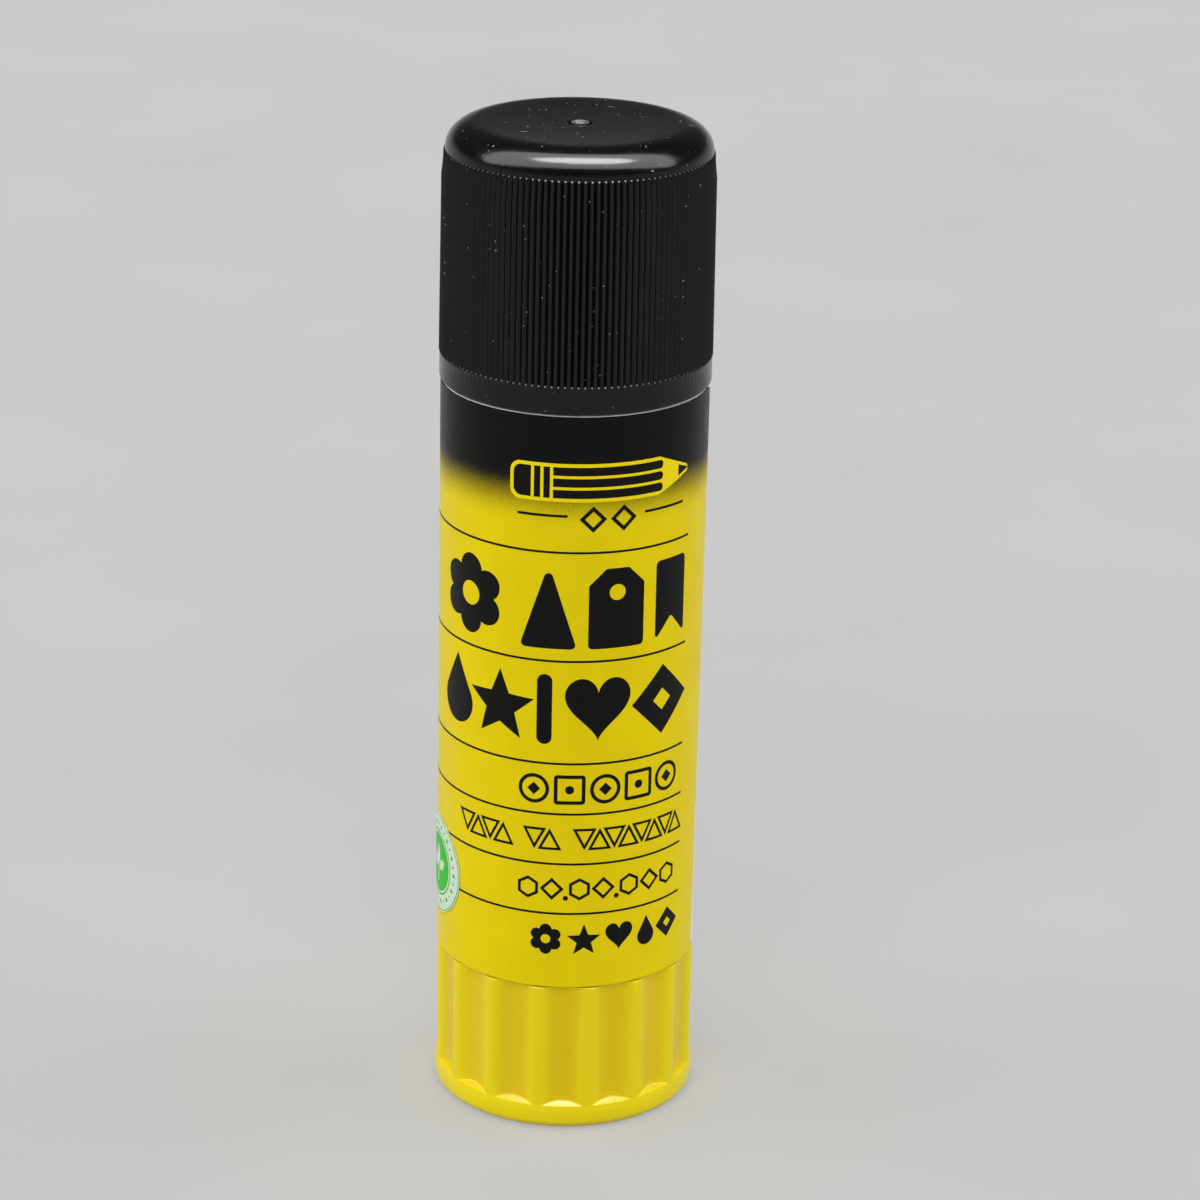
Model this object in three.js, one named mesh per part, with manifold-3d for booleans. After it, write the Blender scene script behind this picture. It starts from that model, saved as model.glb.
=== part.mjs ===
// Twist-up glue stick with a pull-off cap. Turning the base turns a screw, and the screw
// raises a carrier that pushes the glue out of the barrel.
// Millimetres, +Z up, origin in the middle of the resting face, front towards -Y.

import * as THREE from "three";
import { mergeVertices } from "three/addons/utils/BufferGeometryUtils.js";
import Module from "manifold-3d";

const wasm = await Module();
wasm.setup();

// Facets of round shapes
const ROUND = 64;
const ARC_STEPS = 3;
const WELD = 1e-4;
const FUSE = 0.3;

// Clearances
const RUNNING_GAP = 0.25;
const SLIDING_GAP = 0.3;
const FILM_GAP = 0.05;
const SNAP_GAP = 0.1;
const CAP_SEAT_GAP = 0.15;

// Barrel: tube with a narrower neck at the top and a snap skirt at the bottom
const BARREL_RADIUS = 14.65;
const BARREL_WALL = 2.15;
const BARREL_LENGTH = 66.95;
const BARREL_EDGE = 0.1;
const BORE_FLOOR = 1.8;
const SKIRT_LENGTH = 9;
const SKIRT_WALL = 1.1;
const NECK_STEP = 1.05;
const NECK_HEIGHT = 14;
const NECK_EDGE = 0.3;
const NECK_BEAD = 0.12;
const NECK_BEAD_RISE = 3;
const BEAD_HEIGHT = 1;
const RIB_COUNT = 4;
const RIB_HEIGHT = 0.5;
const RIB_WIDTH = 1.2;
const RIB_STOP = 3;

// Base knob: fluted grip flush with the barrel, on a rounded flange, hollow above its floor
const FLANGE_LIP = 0.35;
const FLANGE_HEIGHT = 2.75;
const FLANGE_BOTTOM_EDGE = 1.1;
const GRIP_TOP_EDGE = 0.3;
const KNOB_HEIGHT = 17.5;
const KNOB_WALL = 1.3;
const KNOB_FLOOR = 1.8;
const FOOT_RING_WIDTH = 2.6;
const FOOT_RECESS = 0.7;
const FLUTE_COUNT = 16;
const FLUTE_DEPTH = 0.55;
const FLUTE_WIDTH = 4.9;
const FLUTE_RISE = 1.2;
const FLUTE_END = 2.84;
const HUB_RADIUS = 6;
const HUB_HEIGHT = 5.2;
const SNAP_HEIGHT = 1.6;
const SNAP_DEPTH = 0.3;
const SNAP_DROP = 4;

// Screw spindle: hexagonal plug, collar, plain shank and a left-hand thread
const PLUG_RADIUS = 4;
const COLLAR_RADIUS = 5.6;
const COLLAR_HEIGHT = 1.2;
const THREAD_ROOT = 2.5;
const THREAD_CREST = 3.6;
const THREAD_LEAD = 6;
const THREAD_HAND = -1;
const THREAD_COLUMNS = 16;
const CREST_SHARE = 0.2;
const FLANK_SHARE = 0.12;
const SHANK_LENGTH = 9;
const SPINDLE_TIP = 0.7;
const SPINDLE_RECESS = 2.6;

// Carrier: cup with a central nut
const CARRIER_WALL = 1.2;
const CARRIER_FLOOR = 1.6;
const CUP_DEPTH = 5;
const NUT_RADIUS = 5.6;
const NUT_RISE = 4.4;

// Glue, partly used
const GLUE_RECESS = 2;
const GLUE_HEADROOM = 2;
const GLUE_EDGE = 0.6;

// Wrap label, whose ends leave a strip of the barrel bare, and a round sticker over it
const LABEL_FILM = 0.1;
const LABEL_MARGIN = 0.15;
const LABEL_END_LOW = 76;
const LABEL_END_HIGH = 84.5;
const LABEL_START = 97;
const STICKER_RADIUS = 5.85;
const STICKER_FILM = 0.08;
const STICKER_ANGLE = -76.3;
const STICKER_RISE = 10.2;

// Cap: finely ribbed wall between a plain rim and a smooth crown
const CAP_BORE_GAP = 0.3;
const CAP_RIM_LIP = 0.2;
const CAP_RIM_HEIGHT = 3;
const CAP_RIM_EDGE = 0.7;
const CAP_LEAD_IN = 0.4;
const CAP_BEAD_HEIGHT = 0.8;
const CAP_RIB_COUNT = 130;
const CAP_RIB_LIP = 0.27;
const CAP_RIB_DEPTH = 0.3;
const CAP_RIB_HEIGHT = 22.7;
const CAP_RIB_TAPER = 0.1;
const CROWN_INSET = 0.44;
const CROWN_HEIGHT = 2.45;
const CROWN_EDGE = 2.9;
const CROWN_DOME = 0.2;
const CAP_TOP_WALL = 1.3;
const CEILING_EDGE = 1.5;
const DIMPLE_RADIUS = 1.4;
const DIMPLE_DEPTH = 0.3;

// Plastics, glue and films
const YELLOW = 0xe6cf00;
const WHITE = 0xeeeee8;
const BLACK = 0x161413;
const LABEL_YELLOW = 0xe4cb02;
const STICKER_GREEN = 0x43b04e;
const GLUE_WHITE = 0xf6f4ea;

// Heights above the resting face
const BARREL_BOTTOM = KNOB_HEIGHT + RUNNING_GAP;
const SHOULDER = BARREL_BOTTOM + BARREL_LENGTH;
const MOUTH = SHOULDER + NECK_HEIGHT;
const BORE_BOTTOM = BARREL_BOTTOM + BORE_FLOOR;
const HUB_TOP = KNOB_FLOOR + HUB_HEIGHT;
const SNAP_CENTRE = KNOB_HEIGHT - SNAP_DROP;
const CAP_BOTTOM = SHOULDER + CAP_SEAT_GAP;
const RIBS_BOTTOM = CAP_BOTTOM + CAP_RIM_HEIGHT;
const RIBS_TOP = RIBS_BOTTOM + CAP_RIB_HEIGHT;
const CAP_TOP = RIBS_TOP + CROWN_HEIGHT + CROWN_DOME;
const CEILING = CAP_TOP - CROWN_DOME - CAP_TOP_WALL;
const GLUE_TOP = MOUTH - GLUE_RECESS;
const CARRIER_RIM = GLUE_TOP - (CEILING - MOUTH - GLUE_HEADROOM);
const CUP_FLOOR = CARRIER_RIM - CUP_DEPTH;
const CARRIER_BOTTOM = CUP_FLOOR - CARRIER_FLOOR;
const SPINDLE_TOP = MOUTH - SPINDLE_RECESS;
const THREAD_BOTTOM = HUB_TOP + COLLAR_HEIGHT + SHANK_LENGTH;

// Radii that follow from a fit
const FLANGE_RADIUS = BARREL_RADIUS + FLANGE_LIP;
const KNOB_BORE = BARREL_RADIUS - FLUTE_DEPTH - KNOB_WALL;
const SKIRT_RADIUS = KNOB_BORE - SLIDING_GAP;
const BORE_RADIUS = BARREL_RADIUS - BARREL_WALL;
const NECK_RADIUS = BARREL_RADIUS - NECK_STEP;
const CAP_BORE = NECK_RADIUS + CAP_BORE_GAP;
const CAP_RIM_RADIUS = BARREL_RADIUS + CAP_RIM_LIP;
const CAP_RIB_RADIUS = BARREL_RADIUS + CAP_RIB_LIP;
const CROWN_RADIUS = CAP_RIB_RADIUS - CROWN_INSET;
const CARRIER_RADIUS = BORE_RADIUS - SLIDING_GAP;
const LABEL_INSIDE = BARREL_RADIUS + FILM_GAP;
const LABEL_OUTSIDE = LABEL_INSIDE + LABEL_FILM;

const at = (radius, height) => new THREE.Vector2(radius, height);

// Quarter of an ellipse, as profile points from one angle to another, in quarter turns
function arc(centre, across, up, from, to) {
  const points = [];
  for (let step = 0; step <= ARC_STEPS; step += 1) {
    const angle = (from + ((to - from) * step) / ARC_STEPS) * (Math.PI / 2);
    points.push(at(centre.x + across * Math.cos(angle), centre.y + up * Math.sin(angle)));
  }
  return points;
}

// Closed solid from a geometry, with its faces turned outwards
function solid(geometry) {
  const bare = new THREE.BufferGeometry();
  bare.setAttribute("position", geometry.getAttribute("position"));
  bare.setIndex(geometry.getIndex());
  const welded = mergeVertices(bare, WELD);
  const points = welded.getAttribute("position");
  const corners = welded.getIndex().array;
  const faces = [];
  const [a, b, c] = [new THREE.Vector3(), new THREE.Vector3(), new THREE.Vector3()];
  let volume = 0;
  for (let i = 0; i < corners.length; i += 3) {
    const [p, q, r] = [corners[i], corners[i + 1], corners[i + 2]];
    if (p === q || q === r || r === p) continue;
    faces.push([p, q, r]);
    a.fromBufferAttribute(points, p);
    b.fromBufferAttribute(points, q);
    c.fromBufferAttribute(points, r);
    volume += a.dot(b.cross(c));
  }
  const outward = volume > 0 ? faces : faces.map(([p, q, r]) => [p, r, q]);
  return new wasm.Manifold(new wasm.Mesh({
    numProp: 3,
    vertProperties: new Float32Array(points.array),
    triVerts: new Uint32Array(outward.flat()),
  }));
}

// Solid of revolution about Z, with its first corner towards -Y
function lathe(points, facets = ROUND) {
  const geometry = new THREE.LatheGeometry(points, facets);
  geometry.rotateX(Math.PI / 2);
  return solid(geometry);
}

// Profile that closes on itself
const ring = (points, facets = ROUND) => lathe([...points, points[0]], facets);

function cylinder(radius, bottom, top, facets = ROUND) {
  return lathe([at(0, bottom), at(radius, bottom), at(radius, top), at(0, top)], facets);
}

// Prism on an outline, from one height to another
function prism(outline, bottom, top, hole) {
  const shape = new THREE.Shape(outline);
  if (hole) shape.holes.push(new THREE.Path(hole));
  const geometry = new THREE.ExtrudeGeometry(shape, { depth: top - bottom, bevelEnabled: false });
  geometry.translate(0, 0, bottom);
  return geometry;
}

// Point on the plan at an angle in degrees, from the front (-Y) round towards +X
function onPlan(radius, degrees) {
  const angle = THREE.MathUtils.degToRad(degrees);
  return new THREE.Vector2(radius * Math.sin(angle), -radius * Math.cos(angle));
}

function regular(radius, sides) {
  return Array.from({ length: sides }, (_, side) => onPlan(radius, (360 * side) / sides));
}

// Key standing out along the radius, repeated round the axis
function keys(inner, outer, width, bottom, top) {
  let all = null;
  for (let key = 0; key < RIB_COUNT; key += 1) {
    const box = new THREE.BoxGeometry(outer - inner, width, top - bottom);
    box.translate((inner + outer) / 2, 0, (bottom + top) / 2);
    box.rotateZ((key + 0.5) * ((2 * Math.PI) / RIB_COUNT));
    all = all ? all.add(solid(box)) : solid(box);
  }
  return all;
}

// Trapezoidal thread: four helical ribbons (root, flank, crest, flank) round a core,
// closed below and above by fans to the axis
function thread(root, crest, slack, bottom, top) {
  const flank = FLANK_SHARE * THREAD_LEAD;
  const land = CREST_SHARE * THREAD_LEAD + slack;
  const corners = [
    at(root, 0),
    at(root, THREAD_LEAD - land - 2 * flank),
    at(crest, THREAD_LEAD - land - flank),
    at(crest, THREAD_LEAD - flank),
  ];
  const start = bottom - THREAD_LEAD * 2 + slack / 2;
  const turns = Math.ceil((top - start) / THREAD_LEAD) + 2;
  const levels = turns * corners.length;
  const place = (column, level) => {
    const corner = corners[level % corners.length];
    const turn = Math.floor(level / corners.length) + column / THREAD_COLUMNS;
    const angle = (THREAD_HAND * 2 * Math.PI * column) / THREAD_COLUMNS;
    const height = start + corner.y + THREAD_LEAD * turn;
    return [corner.x * Math.cos(angle), corner.x * Math.sin(angle), height];
  };
  const positions = [];
  const face = (...points) => points.forEach((point) => positions.push(...point));
  const low = [0, 0, start];
  const high = [0, 0, start + THREAD_LEAD * (turns + 1)];
  for (let column = 0; column < THREAD_COLUMNS; column += 1) {
    for (let level = 0; level < levels; level += 1) {
      const [p, q] = [place(column, level), place(column + 1, level)];
      const [r, s] = [place(column + 1, level + 1), place(column, level + 1)];
      face(p, q, r);
      face(p, r, s);
    }
    face(low, place(column + 1, 0), place(column, 0));
    face(high, place(column, levels), place(column + 1, levels));
  }
  for (let level = 0; level < corners.length; level += 1) {
    face(low, place(0, level), place(0, level + 1));
    face(high, place(0, levels + level + 1), place(0, levels + level));
  }
  return positions;
}

function threadSolid(root, crest, slack, bottom, top) {
  const geometry = new THREE.BufferGeometry();
  const positions = thread(root, crest, slack, bottom, top);
  geometry.setAttribute("position", new THREE.Float32BufferAttribute(positions, 3));
  return solid(geometry);
}

function baseKnob() {
  const ringInside = FLANGE_RADIUS - FLANGE_BOTTOM_EDGE - FOOT_RING_WIDTH;
  const lowEdge = at(FLANGE_RADIUS - FLANGE_BOTTOM_EDGE, FLANGE_BOTTOM_EDGE);
  const grooveHeight = SNAP_HEIGHT / 2 + SLIDING_GAP;
  const grooveRadius = KNOB_BORE + SNAP_DEPTH + SLIDING_GAP;
  const body = lathe([
    at(0, FOOT_RECESS),
    at(ringInside - FOOT_RECESS, FOOT_RECESS),
    at(ringInside, 0),
    ...arc(lowEdge, FLANGE_BOTTOM_EDGE, FLANGE_BOTTOM_EDGE, -1, 0),
    ...arc(at(BARREL_RADIUS, FLANGE_HEIGHT - FLANGE_LIP), FLANGE_LIP, FLANGE_LIP, 0, 1),
    at(BARREL_RADIUS, KNOB_HEIGHT - GRIP_TOP_EDGE),
    at(BARREL_RADIUS - GRIP_TOP_EDGE, KNOB_HEIGHT),
    at(KNOB_BORE, KNOB_HEIGHT),
    at(KNOB_BORE, SNAP_CENTRE + grooveHeight),
    at(grooveRadius, SNAP_CENTRE + grooveHeight - SNAP_DEPTH),
    at(grooveRadius, SNAP_CENTRE - grooveHeight + SNAP_DEPTH),
    at(KNOB_BORE, SNAP_CENTRE - grooveHeight),
    at(KNOB_BORE, KNOB_FLOOR),
    at(HUB_RADIUS, KNOB_FLOOR),
    at(HUB_RADIUS, HUB_TOP),
    at(0, HUB_TOP),
  ]);
  const socket = solid(prism(regular(PLUG_RADIUS + SLIDING_GAP, 6), KNOB_FLOOR, HUB_TOP + FUSE));
  return flutes().reduce((knob, flute) => knob.subtract(flute), body.subtract(socket));
}

// Cutters for the grip: round-bottomed flutes that run out through the flange's shoulder
function flutes() {
  const bend = (FLUTE_WIDTH ** 2 / 4 + FLUTE_DEPTH ** 2) / (2 * FLUTE_DEPTH);
  const bottom = FLANGE_HEIGHT + FLUTE_RISE;
  const profile = [
    ...arc(at(0, bottom), bend, FLUTE_END, -1, 0),
    at(bend, KNOB_HEIGHT + FUSE),
    at(0, KNOB_HEIGHT + FUSE),
  ];
  return Array.from({ length: FLUTE_COUNT }, (_, index) => {
    const centre = onPlan(BARREL_RADIUS - FLUTE_DEPTH + bend, (360 * index) / FLUTE_COUNT);
    return lathe(profile, ROUND / 2).translate([centre.x, centre.y, 0]);
  });
}

function spindle() {
  const plug = solid(prism(regular(PLUG_RADIUS, 6), KNOB_FLOOR + SLIDING_GAP, HUB_TOP + FUSE));
  const collar = cylinder(COLLAR_RADIUS, HUB_TOP, HUB_TOP + COLLAR_HEIGHT);
  const shank = cylinder(THREAD_CREST, HUB_TOP, THREAD_BOTTOM, THREAD_COLUMNS * 2);
  const rod = lathe([
    at(0, HUB_TOP),
    at(THREAD_CREST + FUSE, HUB_TOP),
    at(THREAD_CREST + FUSE, SPINDLE_TOP - SPINDLE_TIP - FUSE),
    at(THREAD_CREST - SPINDLE_TIP, SPINDLE_TOP),
    at(0, SPINDLE_TOP),
  ], THREAD_COLUMNS * 2);
  const screw = threadSolid(THREAD_ROOT, THREAD_CREST, 0, HUB_TOP, SPINDLE_TOP);
  return screw.intersect(rod).add(plug).add(collar).add(shank);
}

function barrel() {
  const skirtBottom = BARREL_BOTTOM - SKIRT_LENGTH;
  const snapTop = SNAP_CENTRE + SNAP_HEIGHT / 2;
  const snapBottom = SNAP_CENTRE - SNAP_HEIGHT / 2;
  const snapRadius = KNOB_BORE + SNAP_DEPTH;
  const bead = SHOULDER + NECK_BEAD_RISE;
  const neckEdge = at(NECK_RADIUS - NECK_EDGE, MOUTH - NECK_EDGE);
  const tube = ring([
    at(SKIRT_RADIUS - SKIRT_WALL, skirtBottom),
    at(SKIRT_RADIUS - SKIRT_WALL / 2, skirtBottom),
    at(SKIRT_RADIUS, skirtBottom + SKIRT_WALL),
    at(SKIRT_RADIUS, snapBottom),
    at(snapRadius, snapBottom + SNAP_DEPTH),
    at(snapRadius, snapTop - SNAP_DEPTH),
    at(SKIRT_RADIUS, snapTop),
    at(SKIRT_RADIUS, BARREL_BOTTOM),
    at(BARREL_RADIUS - BARREL_EDGE, BARREL_BOTTOM),
    at(BARREL_RADIUS, BARREL_BOTTOM + BARREL_EDGE),
    at(BARREL_RADIUS, SHOULDER - BARREL_EDGE),
    at(BARREL_RADIUS - BARREL_EDGE, SHOULDER),
    at(NECK_RADIUS, SHOULDER),
    at(NECK_RADIUS, bead - BEAD_HEIGHT / 2),
    at(NECK_RADIUS + NECK_BEAD, bead),
    at(NECK_RADIUS, bead + BEAD_HEIGHT / 2),
    ...arc(neckEdge, NECK_EDGE, NECK_EDGE, 0, 1),
    at(BORE_RADIUS, MOUTH),
    at(BORE_RADIUS, BORE_BOTTOM),
    at(SKIRT_RADIUS - SKIRT_WALL, BORE_BOTTOM),
  ]);
  const ribs = keys(BORE_RADIUS - RIB_HEIGHT, BORE_RADIUS + FUSE, RIB_WIDTH,
    BORE_BOTTOM - FUSE, MOUTH - RIB_STOP);
  return tube.add(ribs);
}

// Room for the barrel's ribs in whatever slides in the bore
function ribSlots(bottom, top) {
  const inner = BORE_RADIUS - RIB_HEIGHT - SLIDING_GAP;
  return keys(inner, BORE_RADIUS + FUSE, RIB_WIDTH + 2 * SLIDING_GAP, bottom - FUSE, top + FUSE);
}

function carrier() {
  const cupInside = CARRIER_RADIUS - CARRIER_WALL;
  const nutTop = CUP_FLOOR + NUT_RISE;
  const cup = lathe([
    at(0, CARRIER_BOTTOM),
    at(CARRIER_RADIUS, CARRIER_BOTTOM),
    at(CARRIER_RADIUS, CARRIER_RIM),
    at(cupInside, CARRIER_RIM),
    at(cupInside, CUP_FLOOR),
    at(NUT_RADIUS, CUP_FLOOR),
    at(NUT_RADIUS, nutTop),
    at(0, nutTop),
  ]);
  const tap = threadSolid(THREAD_ROOT + SLIDING_GAP, THREAD_CREST + SLIDING_GAP, 2 * SLIDING_GAP,
    HUB_TOP, SPINDLE_TOP);
  const reach = cylinder(NUT_RADIUS - FUSE, CARRIER_BOTTOM - FUSE, nutTop + FUSE);
  return cup.subtract(tap.intersect(reach)).subtract(ribSlots(CARRIER_BOTTOM, CARRIER_RIM));
}

function glue() {
  const inCup = CARRIER_RADIUS - CARRIER_WALL - SLIDING_GAP;
  const roundNut = NUT_RADIUS + SLIDING_GAP;
  const overNut = CUP_FLOOR + NUT_RISE + SLIDING_GAP;
  const roundScrew = THREAD_CREST + SLIDING_GAP;
  const overRim = CARRIER_RIM + SLIDING_GAP;
  const stick = ring([
    at(roundNut, CUP_FLOOR),
    at(inCup, CUP_FLOOR),
    at(inCup, overRim),
    at(CARRIER_RADIUS, overRim),
    at(CARRIER_RADIUS, GLUE_TOP - GLUE_EDGE),
    at(CARRIER_RADIUS - GLUE_EDGE, GLUE_TOP),
    at(roundScrew, GLUE_TOP),
    at(roundScrew, overNut),
    at(roundNut, overNut),
  ]);
  return stick.subtract(ribSlots(overRim, GLUE_TOP));
}

// Film round the barrel, cut away between its slanted end and its upright start
function label() {
  const bottom = BARREL_BOTTOM + LABEL_MARGIN;
  const top = SHOULDER - LABEL_MARGIN;
  const film = ring([
    at(LABEL_INSIDE, bottom),
    at(LABEL_OUTSIDE, bottom),
    at(LABEL_OUTSIDE, top),
    at(LABEL_INSIDE, top),
  ]);
  const side = (degrees, height) => at(onPlan(LABEL_OUTSIDE, degrees).y, height);
  const bare = prism([
    side(LABEL_END_LOW, bottom - FUSE),
    side(LABEL_START, bottom - FUSE),
    side(LABEL_START, top + FUSE),
    side(LABEL_END_HIGH, top + FUSE),
  ], 0, 2 * LABEL_OUTSIDE);
  bare.rotateX(Math.PI / 2);
  bare.rotateZ(Math.PI / 2);
  return film.subtract(solid(bare));
}

function sticker() {
  const inside = LABEL_OUTSIDE + FILM_GAP;
  const height = BARREL_BOTTOM + STICKER_RISE;
  const bottom = height - STICKER_RADIUS - FUSE;
  const top = height + STICKER_RADIUS + FUSE;
  const shell = ring([
    at(inside, bottom),
    at(inside + STICKER_FILM, bottom),
    at(inside + STICKER_FILM, top),
    at(inside, top),
  ]);
  const reach = 2 * inside;
  const disc = new THREE.CylinderGeometry(STICKER_RADIUS, STICKER_RADIUS, reach, ROUND / 2);
  disc.translate(0, -reach / 2, 0);
  disc.rotateZ(THREE.MathUtils.degToRad(STICKER_ANGLE));
  disc.translate(0, 0, height);
  return shell.intersect(solid(disc));
}

// Upright ribs all round the cap, drawn in a little towards the top
function capRibs() {
  const outline = [];
  for (let rib = 0; rib < CAP_RIB_COUNT; rib += 1) {
    const pitch = 360 / CAP_RIB_COUNT;
    outline.push(onPlan(CAP_RIB_RADIUS, rib * pitch));
    outline.push(onPlan(CAP_RIB_RADIUS - CAP_RIB_DEPTH, (rib + 0.5) * pitch));
  }
  const hole = regular(CAP_BORE + FUSE, ROUND);
  const geometry = prism(outline, RIBS_BOTTOM, RIBS_TOP, hole);
  const points = geometry.getAttribute("position");
  const scale = 1 - CAP_RIB_TAPER / CAP_RIB_RADIUS;
  for (let i = 0; i < points.count; i += 1) {
    const drawn = points.getZ(i) > (RIBS_BOTTOM + RIBS_TOP) / 2 ? scale : 1;
    points.setXY(i, points.getX(i) * drawn, points.getY(i) * drawn);
  }
  return solid(geometry);
}

function cap() {
  const beadInside = NECK_RADIUS + NECK_BEAD + SNAP_GAP;
  const bead = SHOULDER + NECK_BEAD_RISE + BEAD_HEIGHT;
  const rootRadius = CAP_RIB_RADIUS - CAP_RIB_DEPTH - CAP_RIB_TAPER;
  const rimEdge = at(CAP_RIM_RADIUS - CAP_RIM_EDGE, CAP_BOTTOM + CAP_RIM_EDGE);
  const crownEdge = at(CROWN_RADIUS - CROWN_EDGE, RIBS_TOP);
  const ceilingEdge = at(CAP_BORE - CEILING_EDGE, CEILING - CEILING_EDGE);
  const domeBase = CAP_TOP - CROWN_DOME;
  const dome = (radius) => CAP_TOP - CROWN_DOME * (radius / crownEdge.x) ** 2;
  const shell = lathe([
    at(CAP_BORE + CAP_LEAD_IN, CAP_BOTTOM),
    ...arc(rimEdge, CAP_RIM_EDGE, CAP_RIM_EDGE, -1, 0),
    at(CAP_RIM_RADIUS, RIBS_BOTTOM),
    at(rootRadius, RIBS_BOTTOM),
    at(rootRadius, RIBS_TOP),
    ...arc(crownEdge, CROWN_EDGE, domeBase - RIBS_TOP, 0, 1),
    at(crownEdge.x / 2, dome(crownEdge.x / 2)),
    at(DIMPLE_RADIUS, dome(DIMPLE_RADIUS)),
    at(DIMPLE_RADIUS / 2, CAP_TOP - DIMPLE_DEPTH),
    at(0, CAP_TOP - DIMPLE_DEPTH),
    at(0, CEILING),
    ...arc(ceilingEdge, CEILING_EDGE, CEILING_EDGE, 1, 0),
    at(CAP_BORE, bead + CAP_BEAD_HEIGHT / 2),
    at(beadInside, bead),
    at(CAP_BORE, bead - CAP_BEAD_HEIGHT / 2),
    at(CAP_BORE, CAP_BOTTOM + CAP_LEAD_IN),
    at(CAP_BORE + CAP_LEAD_IN, CAP_BOTTOM),
  ]);
  return shell.add(capRibs());
}

// Named mesh with its own plastic, paper or glue finish
function mesh(name, shape, color, roughness) {
  const { vertProperties, triVerts } = shape.getMesh();
  const geometry = new THREE.BufferGeometry();
  geometry.setAttribute("position", new THREE.BufferAttribute(vertProperties, 3));
  geometry.setIndex(new THREE.BufferAttribute(triVerts, 1));
  const material = new THREE.MeshStandardMaterial({ color, roughness, metalness: 0 });
  const piece = new THREE.Mesh(geometry, material);
  piece.name = name;
  return piece;
}

const glueStick = new THREE.Group();
glueStick.add(
  mesh("base_knob", baseKnob(), YELLOW, 0.3),
  mesh("spindle", spindle(), WHITE, 0.4),
  mesh("barrel", barrel(), WHITE, 0.3),
  mesh("carrier", carrier(), WHITE, 0.4),
  mesh("glue", glue(), GLUE_WHITE, 0.5),
  mesh("label", label(), LABEL_YELLOW, 0.35),
  mesh("sticker", sticker(), STICKER_GREEN, 0.4),
  mesh("cap", cap(), BLACK, 0.25),
);

export default glueStick;
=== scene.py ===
"""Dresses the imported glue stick: fluted yellow base, printed film on a white barrel, ribbed black cap."""

import math

import bmesh
import bpy
from mathutils import Matrix, Vector, noise


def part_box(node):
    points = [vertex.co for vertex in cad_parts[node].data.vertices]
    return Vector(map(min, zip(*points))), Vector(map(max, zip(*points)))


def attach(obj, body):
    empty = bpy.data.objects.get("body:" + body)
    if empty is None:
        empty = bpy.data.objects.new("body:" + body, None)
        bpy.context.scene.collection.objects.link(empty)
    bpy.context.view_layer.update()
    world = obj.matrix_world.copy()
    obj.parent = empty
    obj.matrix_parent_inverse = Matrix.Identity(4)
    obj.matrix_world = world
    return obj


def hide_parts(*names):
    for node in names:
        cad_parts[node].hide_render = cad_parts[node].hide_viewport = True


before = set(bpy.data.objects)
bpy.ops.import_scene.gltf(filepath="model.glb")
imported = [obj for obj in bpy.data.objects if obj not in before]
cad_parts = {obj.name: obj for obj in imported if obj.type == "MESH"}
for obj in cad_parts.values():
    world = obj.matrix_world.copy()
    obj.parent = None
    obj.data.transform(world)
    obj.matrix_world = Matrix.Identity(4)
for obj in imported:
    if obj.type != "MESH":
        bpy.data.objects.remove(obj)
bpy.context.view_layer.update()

# Sizes are in millimetres where no comment says otherwise.
# A millimetre in metres, a distance that counts as none, the longest step of a round corner
MM = 0.001
WELD = 0.0005
ARC_STEP = math.radians(11)

# Camera fitted to the photograph: metres and degrees
CAMERA_BACK = 0.40852
CAMERA_HEIGHT = 0.21004
CAMERA_PITCH = 20.338
CAMERA_YAW = 0.4496
CAMERA_ROLL = 1.2217
CAMERA_LENS = 116.79
SENSOR_WIDTH = 36


def corners_mm(node):
    """Lowest and highest corner of a CAD node, in millimetres."""
    low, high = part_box(node)
    return low / MM, high / MM


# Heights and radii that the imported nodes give, in millimetres
KNOB_HIGH = corners_mm("base_knob")[1]
BARREL_LOW, BARREL_HIGH = corners_mm("barrel")
LABEL_LOW = corners_mm("label")[0]
STICKER_LOW, STICKER_HIGH = corners_mm("sticker")
CAP_LOW, CAP_HIGH = corners_mm("cap")
CARRIER_LOW, CARRIER_HIGH = corners_mm("carrier")
GLUE_HIGH = corners_mm("glue")[1]

FLANGE_RADIUS = KNOB_HIGH.x
KNOB_TOP = KNOB_HIGH.z
BARREL_RADIUS = BARREL_HIGH.x
SKIRT_BOTTOM = BARREL_LOW.z
MOUTH = BARREL_HIGH.z
LABEL_RADIUS = -LABEL_LOW.x
LABEL_BOTTOM = LABEL_LOW.z
CAP_BOTTOM = CAP_LOW.z
CAP_TOP = CAP_HIGH.z
GLUE_RADIUS = GLUE_HIGH.x
GLUE_TOP = GLUE_HIGH.z
STICKER_HEIGHT = (STICKER_LOW.z + STICKER_HIGH.z) / 2
STICKER_RADIUS = (STICKER_HIGH.z - STICKER_LOW.z) / 2

# Straight stretch drawn beside a rounded corner, and the rounding of small inner corners
STUB = 0.5
SMALL_BEND = 0.15

# Clearances, as in the CAD model
SLIDING_GAP = 0.3
LABEL_MARGIN = 0.15
FILM_GAP = 0.05


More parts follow.
